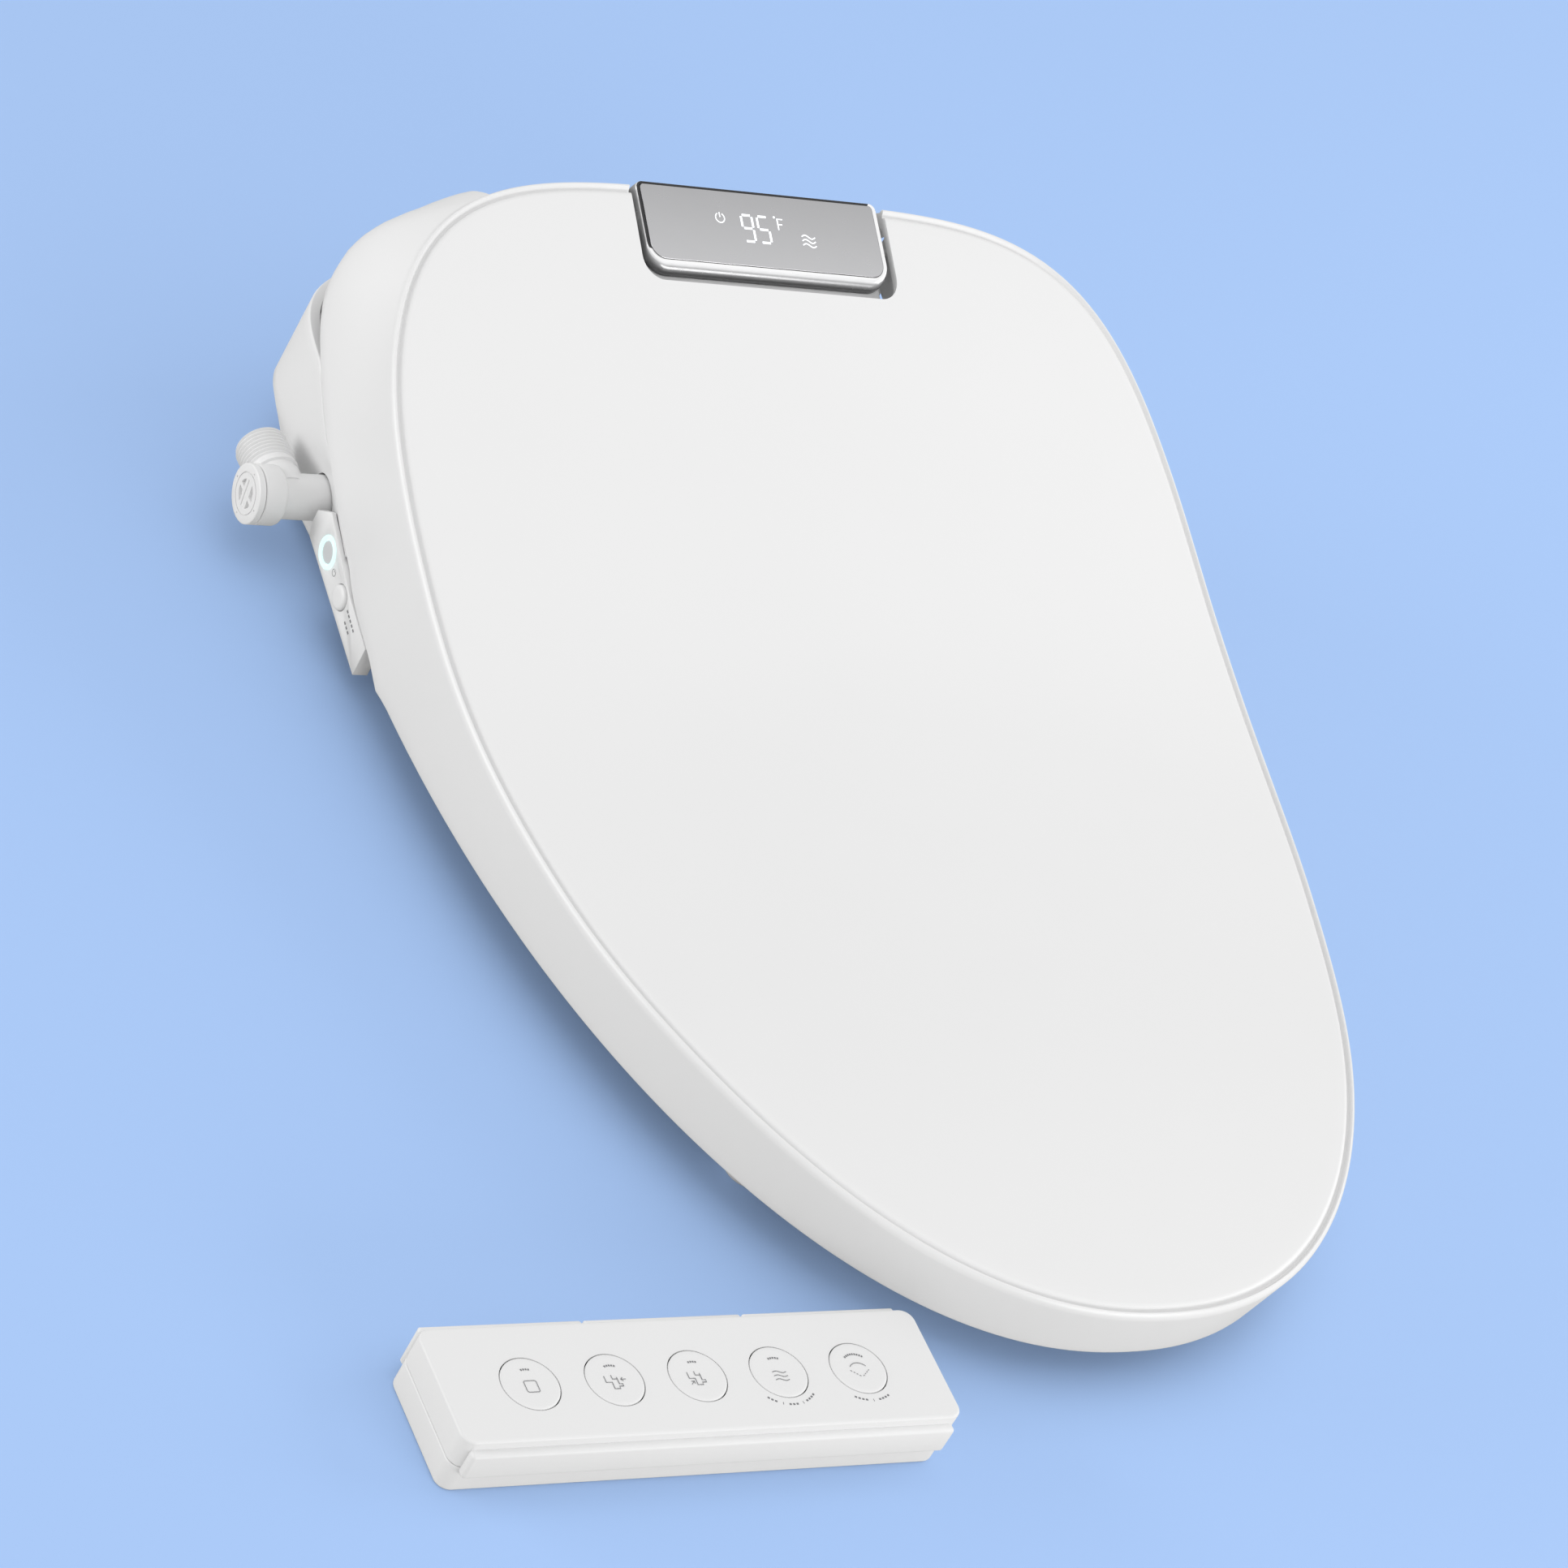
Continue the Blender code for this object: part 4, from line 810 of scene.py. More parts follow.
def seat():
    low, top = SEAT_PLATE_TOP + 0.0003, SEAT_TOP
    round_r = 0.0065
    rings = [seat_ring(0.0004, low), seat_ring(0.0, low + 0.0005)]
    rings += [seat_ring(inset, top - drop) for inset, drop in quarter(round_r, 6)]
    brink = [hole_ring(-out, top - drop) for out, drop in SEAT_ROLL]
    for t in (0.25, 0.5, 0.75):
        rings.append([between(a, b, t) for a, b in zip(seat_ring(round_r, top), brink[0])])
    rings += brink
    rings += [hole_ring(-0.0004, low), hole_ring(-WALL, low), hole_ring(-WALL, top - SEAT_ROLL[-1][1])]
    rings += [hole_ring(-0.0070, top - 0.0080), hole_ring(-0.0200, top - WALL)]
    rings += [seat_ring(0.008, top - WALL), seat_ring(WALL, top - 0.008), seat_ring(WALL, low)]
    shell = loft("seat_shell_fine", rings, LOOKS["white_satin"], closed=True)
    arms, bores = [], []
    root = SEAT_TOP + SEAT_LIFT - 0.0012
    shape = [(-0.090, root), (-0.073, root), (-0.062, 0.0640), (-0.020, 0.0850)]
    shape += [(HINGE_Y - 0.006, HINGE_Z - 0.0100), *knuckle_arc(np.linspace(0, 180, 16))]
    shape += [(-0.020, 0.1000), (-0.066, 0.0790), (-0.084, 0.0660)]
    for x0, x1 in both_sides(SEAT_ARM_X):
        arms.append(soften(prism("seat_arm", shape, x0, x1, axis="X"), 0.0008, 2))
        bores.append(hinge_bore(x0 - 0.01, x1 + 0.01))
    carve(shell, (), arms)
    carve(shell, bores)
    stand_in(shell, "seat_upper_shell")
    low, top, edge = SEAT_LOW, SEAT_PLATE_TOP, 0.0006
    under = [seat_ring(edge, low), seat_ring(0.0, low + edge), seat_ring(0.0, top), seat_ring(WALL, top)]
    under += [hole_ring(-WALL, top), hole_ring(0.0, top), hole_ring(0.0, low + edge)]
    under.append(hole_ring(-edge, low))
    stand_in(loft("seat_plate_fine", under, LOOKS["white_satin"], closed=True), "seat_lower_plate")
    for name in ("left", "right"):
        low_corner, high_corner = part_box(f"seat_bumper_{name}")
        middle = (low_corner + high_corner) / 2
        start, end = (middle.x, middle.y, 0.0), (middle.x, middle.y, high_corner.z - low_corner.z)
        bumper = turned(f"bumper_{name}", start, end, BUMPER, LOOKS["rubber"], 48)
        stand_in(bumper, f"seat_bumper_{name}")


# ---------------------------------------------------------------- rear housing
def rear_angles():
    angles = spaced(BASE_OUTLINE, 420)
    points = outline(BASE_OUTLINE, angles)
    return np.array([a for a, (_, y) in zip(angles, points) if y > BASE_FRONT_Y + 0.006])


BASE_ANGLES = rear_angles()


def tray_rim(y):
    return min(TRAY_TOP, curve_through(SEAM, y) - 0.0006)


def dent(point):
    """The side wall dips softly round the water inlet's stem."""
    x, y, z = point
    if x > -0.12:
        return point
    off = ((y - VALVE.y) ** 2 + (z - VALVE.z) ** 2) / 0.0165**2
    return (x + 0.0042 * math.exp(-(off**1.3)), y, z)


def base_ring(inset, z, narrow=(0.0, 0.0)):
    """A ring of the tray. z may be a function of y; so may narrow, its shares at the sides and back."""
    front = BASE_FRONT_Y + inset
    points = [p for p in outline(BASE_OUTLINE, BASE_ANGLES, inset) if p[1] >= front]
    edge_x = max(abs(x) for x, _ in points)
    points = [(edge_x, front)] + points + [(-edge_x, front)]
    ring = []
    for x, y in points:
        height = z(y) if callable(z) else z
        side, rear = narrow(y, height) if callable(narrow) else narrow
        back = min(max(y / 0.050, 0.0), 1.0)
        ring.append(dent((x * (1 - side - (rear - side) * back), y, height)))
    return ring


def draft(y, z):
    """How much the housing draws in below its rim, at its sides and at its back."""
    knee, rim = min(0.030, tray_rim(y) - 0.004), tray_rim(y)
    if z >= knee:
        return between((0.0, 0.0), BASE_WAIST, (rim - z) / (rim - knee))
    return between(BASE_WAIST, BASE_HEM, (knee - z) / (knee - BASE_Z - 0.005))


def climb(t, low, inset=0.0):
    """A wall ring a share of the way up from low to the rim."""
    return base_ring(inset, lambda y: low + (tray_rim(y) - 0.0012 - low) * t, draft)


def rim_ring(inset, drop):
    return base_ring(inset, lambda y: tray_rim(y) - drop)


def tray():
    low, floor = BASE_Z + 0.005, BASE_Z + WALL
    foot = ((0.005, 0.0), (0.0025, 0.0008), (0.0008, 0.0026))  # inset and rise
    rings = [base_ring(inset, BASE_Z + rise, BASE_HEM) for inset, rise in foot]
    rings += [climb(t, low) for t in np.linspace(0, 1, 15)]
    rings += [rim_ring(0.0002, 0.0005), rim_ring(0.0006, 0.0001), rim_ring(0.0012, 0.0)]
    rings += [rim_ring(LIP - 0.0003, 0.0), rim_ring(LIP, 0.0003), rim_ring(LIP, 0.0012)]
    rings += [rim_ring(WALL, 0.0030)]
    rings += [climb(t, low, WALL) for t in np.linspace(0.85, 0.05, 10)]
    rings += [base_ring(WALL + 0.003, floor, BASE_HEM)]
    shell = loft("tray_fine", rings, LOOKS["white_shell"])
    cutters = [rod("stem_hole", (-0.21, VALVE.y, VALVE.z), (-0.15, VALVE.y, VALVE.z), STEM_R + 0.0008)]
    for name, window in WINDOWS_IN_FRONT.items():
        cutters.append(prism(name, rounded(*window), -0.08, -0.05, axis="Y"))
    for name, window in WINDOWS_AT_RIGHT.items():
        cutters.append(prism(name, rounded(*window), 0.14, 0.20, axis="X"))
    cutters.append(rod("gland_hole", (GLAND_X, 0.06, GLAND_Z), (GLAND_X, 0.10, GLAND_Z), GLAND_R))
    for k in range(SLOT_COUNT):
        x = SLOT_START + SLOT_PITCH * k
        slot = rounded(x, x + SLOT_WIDTH, *SLOT_Z, 0.0019, 4)
        cutters.append(prism("air_slot", slot, 0.06, 0.10, axis="Y"))
    carve(shell, cutters)
    stand_in(shell, "base_tray")


def housing_top():
    refine("base_cover", 0.0006, segments=2)
    refine("control_tower", 0.0016)
    for side in ("left", "right"):
        refine(f"base_pad_{side}", 0.0008)
    refine("mounting_plate", 0.0008, segments=2)


# ---------------------------------------------------------------- display
def display_axes():
    along = (DISPLAY_BACK - DISPLAY_FRONT).normalized()
    return along, Vector((0.0, -along.z, along.y))


def on_display(u, v, height=0.0):
    """A point on the display's face: u along X, v up the slope from its front edge."""
    along, up = display_axes()
    return tuple(DISPLAY_FRONT + Vector((u, 0.0, 0.0)) + along * v + up * (height + HAIR))


def display():
    along, up = display_axes()
    length = (DISPLAY_BACK - DISPLAY_FRONT).length

    def plan(side, front, back, depth):
        """The block's outline drawn in by different amounts, at a depth along its face's normal."""
        near, far = FRONT_CORNER - (side + front) / 2, BACK_CORNER - (side + back) / 2
        right, low, high = DISPLAY_X - side, front, length - back
        shape = []
        for index, (cx, cy, r) in enumerate((
            (right - far, high - far, far),
            (-right + far, high - far, far),
            (-right + near, low + near, near),
            (right - near, low + near, near),
        )):
            shape += arc(cx, cy, r, 90 * index, 90 * index + 90, 12)
        return [tuple(DISPLAY_FRONT + Vector((x, 0, 0)) + along * v + up * depth) for x, v in shape]

    roll = [plan(0.0004, 0.0006, 0.0003, -0.0062), plan(0.0, 0.0, 0.0, -0.0056)]
    for a in np.linspace(0, math.pi / 2, 14):
        draw, rise = 1 - math.cos(a), math.sin(a)
        roll.append(plan(0.0005 * draw, 0.0046 * draw, 0.0003 * draw, -0.0046 + 0.0045 * rise))
    ledge = [plan(0.0020, 0.0048, 0.0011, -0.0003), plan(0.0021, 0.0049, 0.0012, -0.0024)]
    bezel = loft("bezel_rolled", roll + ledge, LOOKS["chrome_trim"])
    bezel.data.materials.append(CHIP_BLACK)
    # the ledge is painted black behind and left of these, a painted shade line along those two sides
    shade_line_y, shade_line_x = DISPLAY_FRONT.y + 0.0085, DISPLAY_X - 0.004
    for face in bezel.data.polygons[(len(roll) - 1) * len(roll[0]):]:
        face.material_index = int(face.center.y > shade_line_y and face.center.x < shade_line_x)
    stand_in(bezel, "display_bezel")
    edge = [plan(0.0022, 0.0050, 0.0013, -0.0022), plan(0.0022, 0.0050, 0.0013, -0.0004)]
    edge += [plan(0.0023, 0.0050, 0.0013, -0.0001), plan(0.0024, 0.0051, 0.0014, 0.0)]
    stand_in(loft("window_glass", edge, LOOKS["display_silver"]), "display_glass")
    display_signs()


SEGMENTS = {
    "a": ((0, 2), (1, 2)),
    "b": ((1, 2), (1, 1)),
    "c": ((1, 1), (1, 0)),
    "d": ((0, 0), (1, 0)),
    "e": ((0, 1), (0, 0)),
    "f": ((0, 2), (0, 1)),
    "g": ((0, 1), (1, 1)),
}
DIGITS = {"9": "abcdfg", "5": "acdfg"}


def seven_segment(digit, x, v):
    """The lit bars of a seven-segment digit, each drawn short of its neighbours."""
    width, height, gap = 0.0051, 0.0116, 0.0010 * 0.6
    bars = []
    for key in DIGITS[digit]:
        (a0, b0), (a1, b1) = SEGMENTS[key]
        start = Vector((x + a0 * width, v + b0 * height / 2))
        end = Vector((x + a1 * width, v + b1 * height / 2))
        step = (end - start).normalized() * gap
        bars.append([tuple(start + step), tuple(end - step)])
    return bars


def display_signs():
    lit = dict(to_face=on_display, look=LED_WHITE, body="base", slot="display_silver")
    digits = seven_segment("9", -0.0101, 0.0160) + seven_segment("5", -0.0025, 0.0160)
    sign("display_reading", digits, 0.00095, **lit)
    degree = [arc(0.0060, 0.0279, 0.00025, 0, 360, 12)]
    stem, foot, head, middle = 0.0073, 0.0224, 0.0272, 0.0248
    degree += [[(stem, foot), (stem, head), (0.0099, head)], [(stem, middle), (0.0094, middle)]]
    sign("display_unit", degree, 0.00048, **lit)
    sign("display_waves", wave_lines(0.0211, 0.0185, 0.0064, 3, 0.0019, 0.00075), 0.00048, **lit)
    sign("display_power", power_mark(-0.0203, 0.0254, 0.0021), 0.00042, **lit)


# ---------------------------------------------------------------- side panel
def on_panel(u, v, height=0.0):
    """A point on the panel's outer face: u towards +Y, v up."""
    return (PANEL_FACE_X - HAIR - height, u, v)


def side_panel():
    refine("side_panel_arm", 0.0007)
    y, z = RING_YZ
    face = PANEL_FACE_X
    inner = RING_R - 0.0018
    middle, half = (RING_R + inner) / 2, (RING_R - inner) / 2
    rings = []
    for k in range(13):  # a half-round lens, open in the middle
        turn = math.pi * k / 12
        rings.append((middle + half * math.cos(turn), face - 0.0007 * math.sin(turn)))
    rings += [(inner, face + 0.0018), (RING_R, face + 0.0018)]
    turns = [math.tau * i / 96 for i in range(96)]
    loops = [[(x, y + r * math.cos(t), z + r * math.sin(t)) for t in turns] for r, x in rings]
    stand_in(loft("light_ring", loops, LOOKS["ring_lens"], closed=True), "ring_lens")
    outer_x, inner_x = 0.0001, 0.0009  # the key's two faces, inwards from the panel's
    key_shape = tube_profile(inner_x - outer_x, inner - 0.0003, 0.0003)
    start, end = (face + outer_x, *RING_YZ), (face + inner_x, *RING_YZ)
    key = turned("power_key", start, end, key_shape, KEY_GREY)
    hold(key, "power_key", "grey_plastic", "power_button")
    start, end = (face - 0.0017, *WASH_YZ), (face + 0.0026, *WASH_YZ)
    dome = ((0.0, 0.30), (0.006, 0.60), (0.03, 0.78), (0.09, 0.91), (0.18, 0.98), (0.30, 1), (1.0, 1))
    dome = [(share, WASH_R * part) for share, part in dome]
    stand_in(turned("wash_key", start, end, dome, LOOKS["white_shell"]), "wash_button")
    panel_print = dict(to_face=on_panel, look=PRINT_GREY, body="base", slot="white_shell")
    sign("panel_power", power_mark(-0.0623, 0.0253, 0.0014), 0.00026, **panel_print)
    dashes = []
    for u0, v0, slope, count in ((-0.0805, 0.0228, 0.24, 5), (-0.0822, 0.0184, 0.24, 3)):
        for k in range(count):
            start = -0.0021 * k
            end = start - 0.0013
            dashes.append([(u0 + start, v0 + slope * start), (u0 + end, v0 + slope * end)])
    sign("panel_label", dashes, 0.0009, **panel_print)


# ---------------------------------------------------------------- water inlet
def threaded(name, start, end, radius):
    """A rod along +Y with a rounded helical thread that fades at both ends."""
    a, b = Vector(start), Vector(end)
    length = (b - a).length
    sides, steps = 64, 120
    rings = []
    for k in range(steps + 1):
        travel = length * k / steps
        fade = min(travel / 0.0012, (length - travel) / 0.0010, 1.0)
        ring = []
        for i in range(sides):
            turn = math.tau * i / sides
            phase = (travel / THREAD_PITCH - i / sides) % 1.0
            crest = 0.5 + 0.5 * math.cos(math.tau * phase)
            r = radius - THREAD_DEPTH * (1 - crest**0.8 * max(fade, 0.0))
            ring.append((a.x + r * math.cos(turn), a.y + travel, a.z + r * math.sin(turn)))
        rings.append(ring)
    return loft(name, rings, sharp=60)


def inlet():
    x, y, z = VALVE
    stem = [(0.0, STEM_R), (0.72, STEM_R), (0.735, STEM_R + 0.0004), (0.75, CAP_R - 0.0010)]
    stem += [(0.765, CAP_R - 0.0003), (0.79, CAP_R), (0.985, CAP_R), (1.0, CAP_R - 0.0004)]
    body = turned("tee_stem", (-0.1690, y, z), (-0.2068, y, z), stem, LOOKS["white_shell"], 72)
    neck_end = -0.0070
    plain, waist, rib, tip = 0.0098, 0.0092, 0.0102, 0.0093
    neck = [(0.0, plain), (0.55, plain), (0.58, waist), (0.70, waist)]
    neck += [(0.73, rib), (0.84, rib), (0.87, tip), (1.0, tip)]
    throat = turned("tee_neck", (x, y, z), (x, y + (neck_end - y), z), neck, None, 72)
    thread = threaded("tee_thread", (x, neck_end - 0.0008, z), (x, 0.0064, z), THREAD_R)
    carve(body, (), (throat, thread))
    carve(body, (rod("bore", (x, -0.0100, z), (x, 0.0200, z), 0.0070, 48),))
    stand_in(body, "inlet_tee")
    filter_cap(y, z)


def filter_cap(y, z):
    """The filter's cap: a ring groove, a sunk centre crossed by a slotted and a thin bar, four dots."""
    outer, inner = -0.2100, -0.2071
    profile = [(0.0, CAP_R - 0.0006), (0.05, CAP_R - 0.0002), (0.14, CAP_R)]
    profile += [(0.92, CAP_R), (1.0, CAP_R - 0.0003)]
    cap = turned("cap_fine", (outer, y, z), (inner, y, z), profile, LOOKS["white_shell"], 96)
    out = outer - 0.0040
    wide_turn, thin_turn = 1.405, 0.06
    groove = rod("groove", (out, y, z), (outer + 0.0005, y, z), 0.0086, 72)
    carve(groove, (rod("core", (out - 0.001, y, z), (outer + 0.0009, y, z), 0.0081, 72),))
    pocket = rod("pocket", (out, y, z), (outer + 0.0013, y, z), 0.0058, 48)
    bars = []
    for turn, width in ((wide_turn, 0.0052), (thin_turn, 0.0017)):
        bars.append(cap_bar(y, z, turn, 0.0140, width, out - 0.001, outer + 0.0020))
    carve(pocket, bars)
    slot = cap_bar(y, z, wide_turn, 0.0116, 0.0022, out, outer + 0.0004)
    dots = []
    for k in range(4):
        turn = math.tau * k / 4
        at = (y + 0.0098 * math.cos(turn), z + 0.0098 * math.sin(turn))
        dots.append(rod("dot", (out, *at), (outer + 0.0005, *at), 0.0004, 16))
    carve(cap, (groove, pocket, slot, *dots))
    stand_in(cap, "filter_cap")


def cap_bar(y, z, turn, length, width, low, high):
    """A round-ended bar across the cap's axis, turned about it."""
    shape = rounded(-length / 2, length / 2, -width / 2, width / 2, width * 0.2, 4)
    c, s = math.cos(turn), math.sin(turn)
    return prism("bar", [(y + u * c - v * s, z + u * s + v * c) for u, v in shape], low, high, axis="X")


# ---------------------------------------------------------------- remote
def on_remote(cx, cy, z):
    return lambda u, v, height=0.0: (cx + u, cy + v, z + HAIR + height)


def dash_arc(radius, middle, count, dash=5.5, gap=3.5):
    """A row of short dashes on an arc round the key's centre, where a real one has a word."""
    total = count * dash + (count - 1) * gap
    start = middle - total / 2
    starts = [start + k * (dash + gap) for k in range(count)]
    return [arc(0, 0, radius, at, at + dash, 3) for at in starts]


def seated_mark(arrow_u, arrow_v, arrow_turn):
    """Two nested steps, for a seat in profile, and a small arrow towards them."""
    mm = 0.001
    outer = [(-3.9, 1.6), (-3.9, -1.1), (-1.6, -1.1), (-1.6, -3.9), (0.6, -3.9)]
    outer += [(0.6, -2.9), (2.2, -2.9), (2.2, -1.9), (0.9, -1.9), (0.9, 1.0)]
    inner = [(-1.0, 1.9), (-1.0, 0.2), (0.9, 0.2)]
    c, s = math.cos(arrow_turn), math.sin(arrow_turn)
    arrow = [(-1.0, 0.0), (1.0, 0.0)], [(0.2, 0.8), (1.0, 0.0), (0.2, -0.8)]
    marks = [[(u * mm, v * mm) for u, v in line] for line in (outer, inner)]
    for line in arrow:
        marks.append([((arrow_u + u * c - v * s) * mm, (arrow_v + u * s + v * c) * mm) for u, v in line])
    return marks


def key_marks():
    """The print on each round key, as strokes round its centre."""
    square = rounded(-0.0024, 0.0024, -0.0036, 0.0012, 0.0007, 4)
    fan = [arc(0, -0.0020, 0.0042, 38, 142, 14)]
    for turn in (38, 142):
        c, s = math.cos(math.radians(turn)), math.sin(math.radians(turn))
        for low in (0.0006, 0.0018, 0.0030, 0.0042):
            fan.append([(r * c, -0.0040 + r * s) for r in (low, low + 0.0007)])
    return {
        "stop": ([square + [square[0]]], 4),
        "front_wash": (seated_mark(3.2, 0.0, math.pi), 5),
        "rear_wash": (seated_mark(-3.2, -3.0, 0.8), 4),
        "dryer": (wave_lines(0.0, -0.0018, 0.0056, 3, 0.0017, 0.00042), 5),
        "oscillate": (fan, 9),
    }


def remote_plan(inset, corner=None):
    """The remote's outline moved inwards, its corners shrinking with it unless a radius is given."""
    half = REMOTE_SIZE / 2
    x0, x1, y0, y1 = REMOTE_X - half.x, REMOTE_X + half.x, REMOTE_Y - half.y, REMOTE_Y + half.y
    return rounded(x0 + inset, x1 - inset, y0 + inset, y1 - inset, corner or REMOTE_CORNER - inset)


def remote_rings(steps):
    return [[(x, y, z) for x, y in remote_plan(inset)] for inset, z in steps]


def remote():
    half = REMOTE_SIZE / 2
    x0, x1, y0 = REMOTE_X - half.x, REMOTE_X + half.x, REMOTE_Y - half.y
    split, top = REMOTE_SPLIT, REMOTE_SIZE.z
    steps = [(0.0003, split + 0.0003), (0.0, split + 0.0006)]
    steps += [(inset, top - drop) for inset, drop in quarter(0.0010, 5)]
    front = loft("remote_front_fine", remote_rings(steps + [(0.0020, top)]), REMOTE_WHITE)
    holes = [prism("hollow", remote_plan(REMOTE_WALL, 0.002), 0.0, top - REMOTE_WALL)]
    centres = [(REMOTE_X + (k - 2) * REMOTE_PITCH, REMOTE_Y - 0.0010) for k in range(5)]
    for cx, cy in centres:
        holes.append(rod("hole", (cx, cy, split + 0.005), (cx, cy, 0.04), REMOTE_BUTTON_R + 0.0004, 96))
    foot_low, foot_high = (x0 + 0.0035, y0 - STRIP, 0.0100), (x1 - 0.0035, y0 + 0.001, 0.0215)
    carve(front, holes, (soften(block("foot", foot_low, foot_high), 0.0012),))
    stand_in(front, "remote_front_shell")
    remote_back(x1, split)
    r = REMOTE_BUTTON_R
    dish = [(0.0, r), (0.90, r), (0.95, r - 0.0001), (0.985, r - 0.0004), (1.0, r - 0.0009)]
    dish += [(0.9965, r * 0.80), (0.985, r * 0.55), (0.978, r * 0.30), (0.976, r * 0.05)]
    for (cx, cy), (name, (strokes, dashes)) in zip(centres, key_marks().items()):
        low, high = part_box(f"{name}_button")
        key = turned(f"{name}_key_cap", (cx, cy, low.z), (cx, cy, high.z), dish, REMOTE_WHITE, 96)
        stand_in(key, f"{name}_button")
        place = (on_remote(cx, cy, high.z), PRINT_GREY, f"{name}_key", "white_shell")
        sign(f"{name}_mark", strokes, 0.00026, *place)
        sign(f"{name}_dashes", dash_arc(0.0060, 90, dashes), 0.00075, *place)
    levels(centres, top)
    remote_keys()


def levels(centres, top):
    """Level marks below the last two keys: dashes in groups with thin bars between them."""
    for k, groups, name in ((3, (3, 3, 4), "dryer"), (4, (4, 4), "oscillate")):
        cx, cy = centres[k]
        step = 34 if len(groups) == 3 else 40
        place = (on_remote(cx, cy, top), PRINT_GREY, "remote", "white_shell")
        strokes = []
        for g, count in enumerate(groups):
            middle = 270 + (g - (len(groups) - 1) / 2) * step
            strokes += dash_arc(0.0140, middle, count, 3.6, 2.2)
        bars = []
        for g in range(len(groups) - 1):
            turn = math.radians(270 + (g - (len(groups) - 2) / 2) * step)
            bars.append([(r * math.cos(turn), r * math.sin(turn)) for r in (0.0135, 0.0146)])
        sign(f"{name}_levels", strokes, 0.00075, *place)
        sign(f"{name}_bars", bars, 0.00022, *place)


def remote_back(x1, split):
    """The back shell, its battery door and what is inside."""
    steps = [(across, up) for up, across in quarter(0.0012, 5)]
    steps += [(0.0, split - 0.0004), (0.0003, split)]
    back = loft("remote_back_fine", remote_rings(steps), REMOTE_WHITE)
    cx, cy = REMOTE_X, REMOTE_Y
    hollow = prism("hollow", remote_plan(REMOTE_WALL, 0.002), 0.0035, 0.03)
    channel = block("channel", (cx - 0.032, cy - 0.0150, -0.01), (x1 + 0.01, cy + 0.0150, 0.0018))
    hatch = block("hatch", (cx - 0.028, cy - 0.0120, -0.01), (cx + 0.028, cy + 0.0120, 0.01))
    carve(back, (hollow, channel, hatch))
    stand_in(back, "remote_back_shell")
    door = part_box("battery_cover")[0]
    grips = []
    for k in range(5):
        x, z = door.x + 0.012 + 0.0022 * k, door.z
        shape = [(x - 0.0004, z), (x, z - 0.0003), (x + 0.0004, z), (x, z + 0.0004)]
        grips.append(prism("grip", shape, cy - 0.008, cy + 0.008, LOOKS["white_satin"], "Y"))
    refine("battery_cover", 0.0003, *grips, segments=2)
    refine("battery_pack", 0.0006)
    dome = [(0, 0.0032), (0.6, 0.0030), (1.0, 0.0018)]
    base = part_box("remote_board")[1].z - 0.0001
    domes = []
    for k in range(5):
        bx = cx + (k - 2) * REMOTE_PITCH
        domes.append(turned("dome", (bx, cy, base), (bx, cy, base + 0.0011), dome, CHIP_BLACK, 24))
    refine("remote_board", 0.0002, *domes, segments=1)


def remote_keys():
    """The three rockers along the remote's top edge: one long rounded strip, slit twice."""
    for name in ("left", "middle", "right"):
        refine(f"top_key_{name}", 0.0010, look=REMOTE_WHITE, segments=4)


# ---------------------------------------------------------------- wash nozzles and dryer
def wands():
    """Each wand has a rounded tip with spray holes and one shallow ring."""
    for name in ("front", "rear"):
        low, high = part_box(f"{name}_nozzle")
        radius = (high.x - low.x) / 2
        slope = math.radians(14)
        ahead, drop = radius * math.sin(slope), radius * math.cos(slope)
        tip = Vector(((low.x + high.x) / 2, low.y + ahead, low.z + drop))
        end = Vector((tip.x, high.y - ahead, high.z - drop))
        profile = [(0.0, 0.35), (0.004, 0.70), (0.012, 0.92), (0.028, 1), (0.20, 1), (0.204, 0.93)]
        profile += [(0.212, 0.93), (0.216, 1), (0.992, 1), (1.0, 0.9)]
        profile = [(share, radius * part) for share, part in profile]
        wand = turned(f"{name}_wand", tip, end, profile, LOOKS["white_satin"], 48)
        along = (end - tip).normalized()
        up = Vector((0.0, -along.z, along.y))
        holes = []
        count = 3 if name == "front" else 5
        circle = 0.0016
        for k in range(count):
            turn = math.tau * k / count
            forward = along * (0.0085 + circle * math.cos(turn))
            side = Vector((circle * math.sin(turn), 0, 0))
            at = tip + forward + side + up * radius * 0.6
            holes.append(rod("spray", at, at + up * 0.006, 0.00035, 12))
        carve(wand, holes)
        stand_in(wand, f"{name}_nozzle")
        gear(name)


def gear(name):
    """The pinion that drives a wand, with small teeth."""
    low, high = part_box(f"{name}_pinion")
    cy, cz = (low.y + high.y) / 2, (low.z + high.z) / 2
    radius = (high.y - low.y) / 2
    teeth, shape = 20, []
    for k in range(teeth):
        for share, r in ((0.0, 0.88), (0.22, 0.90), (0.34, 1.0), (0.66, 1.0), (0.78, 0.90)):
            turn = math.tau * (k + share) / teeth
            shape.append((cy + radius * r * math.cos(turn), cz + radius * r * math.sin(turn)))
    wheel = prism(f"{name}_gear_fine", shape, low.x, high.x, LOOKS["grey_plastic"], "X")
    stand_in(wheel, f"{name}_pinion")


def dryer():
    """The outlet flap with its finger rib, the duct and the blower."""
    low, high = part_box("dryer_flap")
    rib_z = (low.z + high.z) / 2
    ribs = []
    for k in (-1, 0, 1):
        z = rib_z + k * 0.0036
        face = [(low.y + 0.0002, z - 0.0005), (low.y - 0.0004, z), (low.y + 0.0002, z + 0.0005)]
        ribs.append(prism("rib", face, low.x + 0.003, high.x - 0.003, LOOKS["white_satin"], "X"))
    refine("dryer_flap", 0.0004, *ribs, segments=2)
    refine("dryer_duct", 0.0006, segments=2)
    refine("blower_housing", 0.0006, segments=2)
    refine("blower_impeller", 0.0001, segments=1)


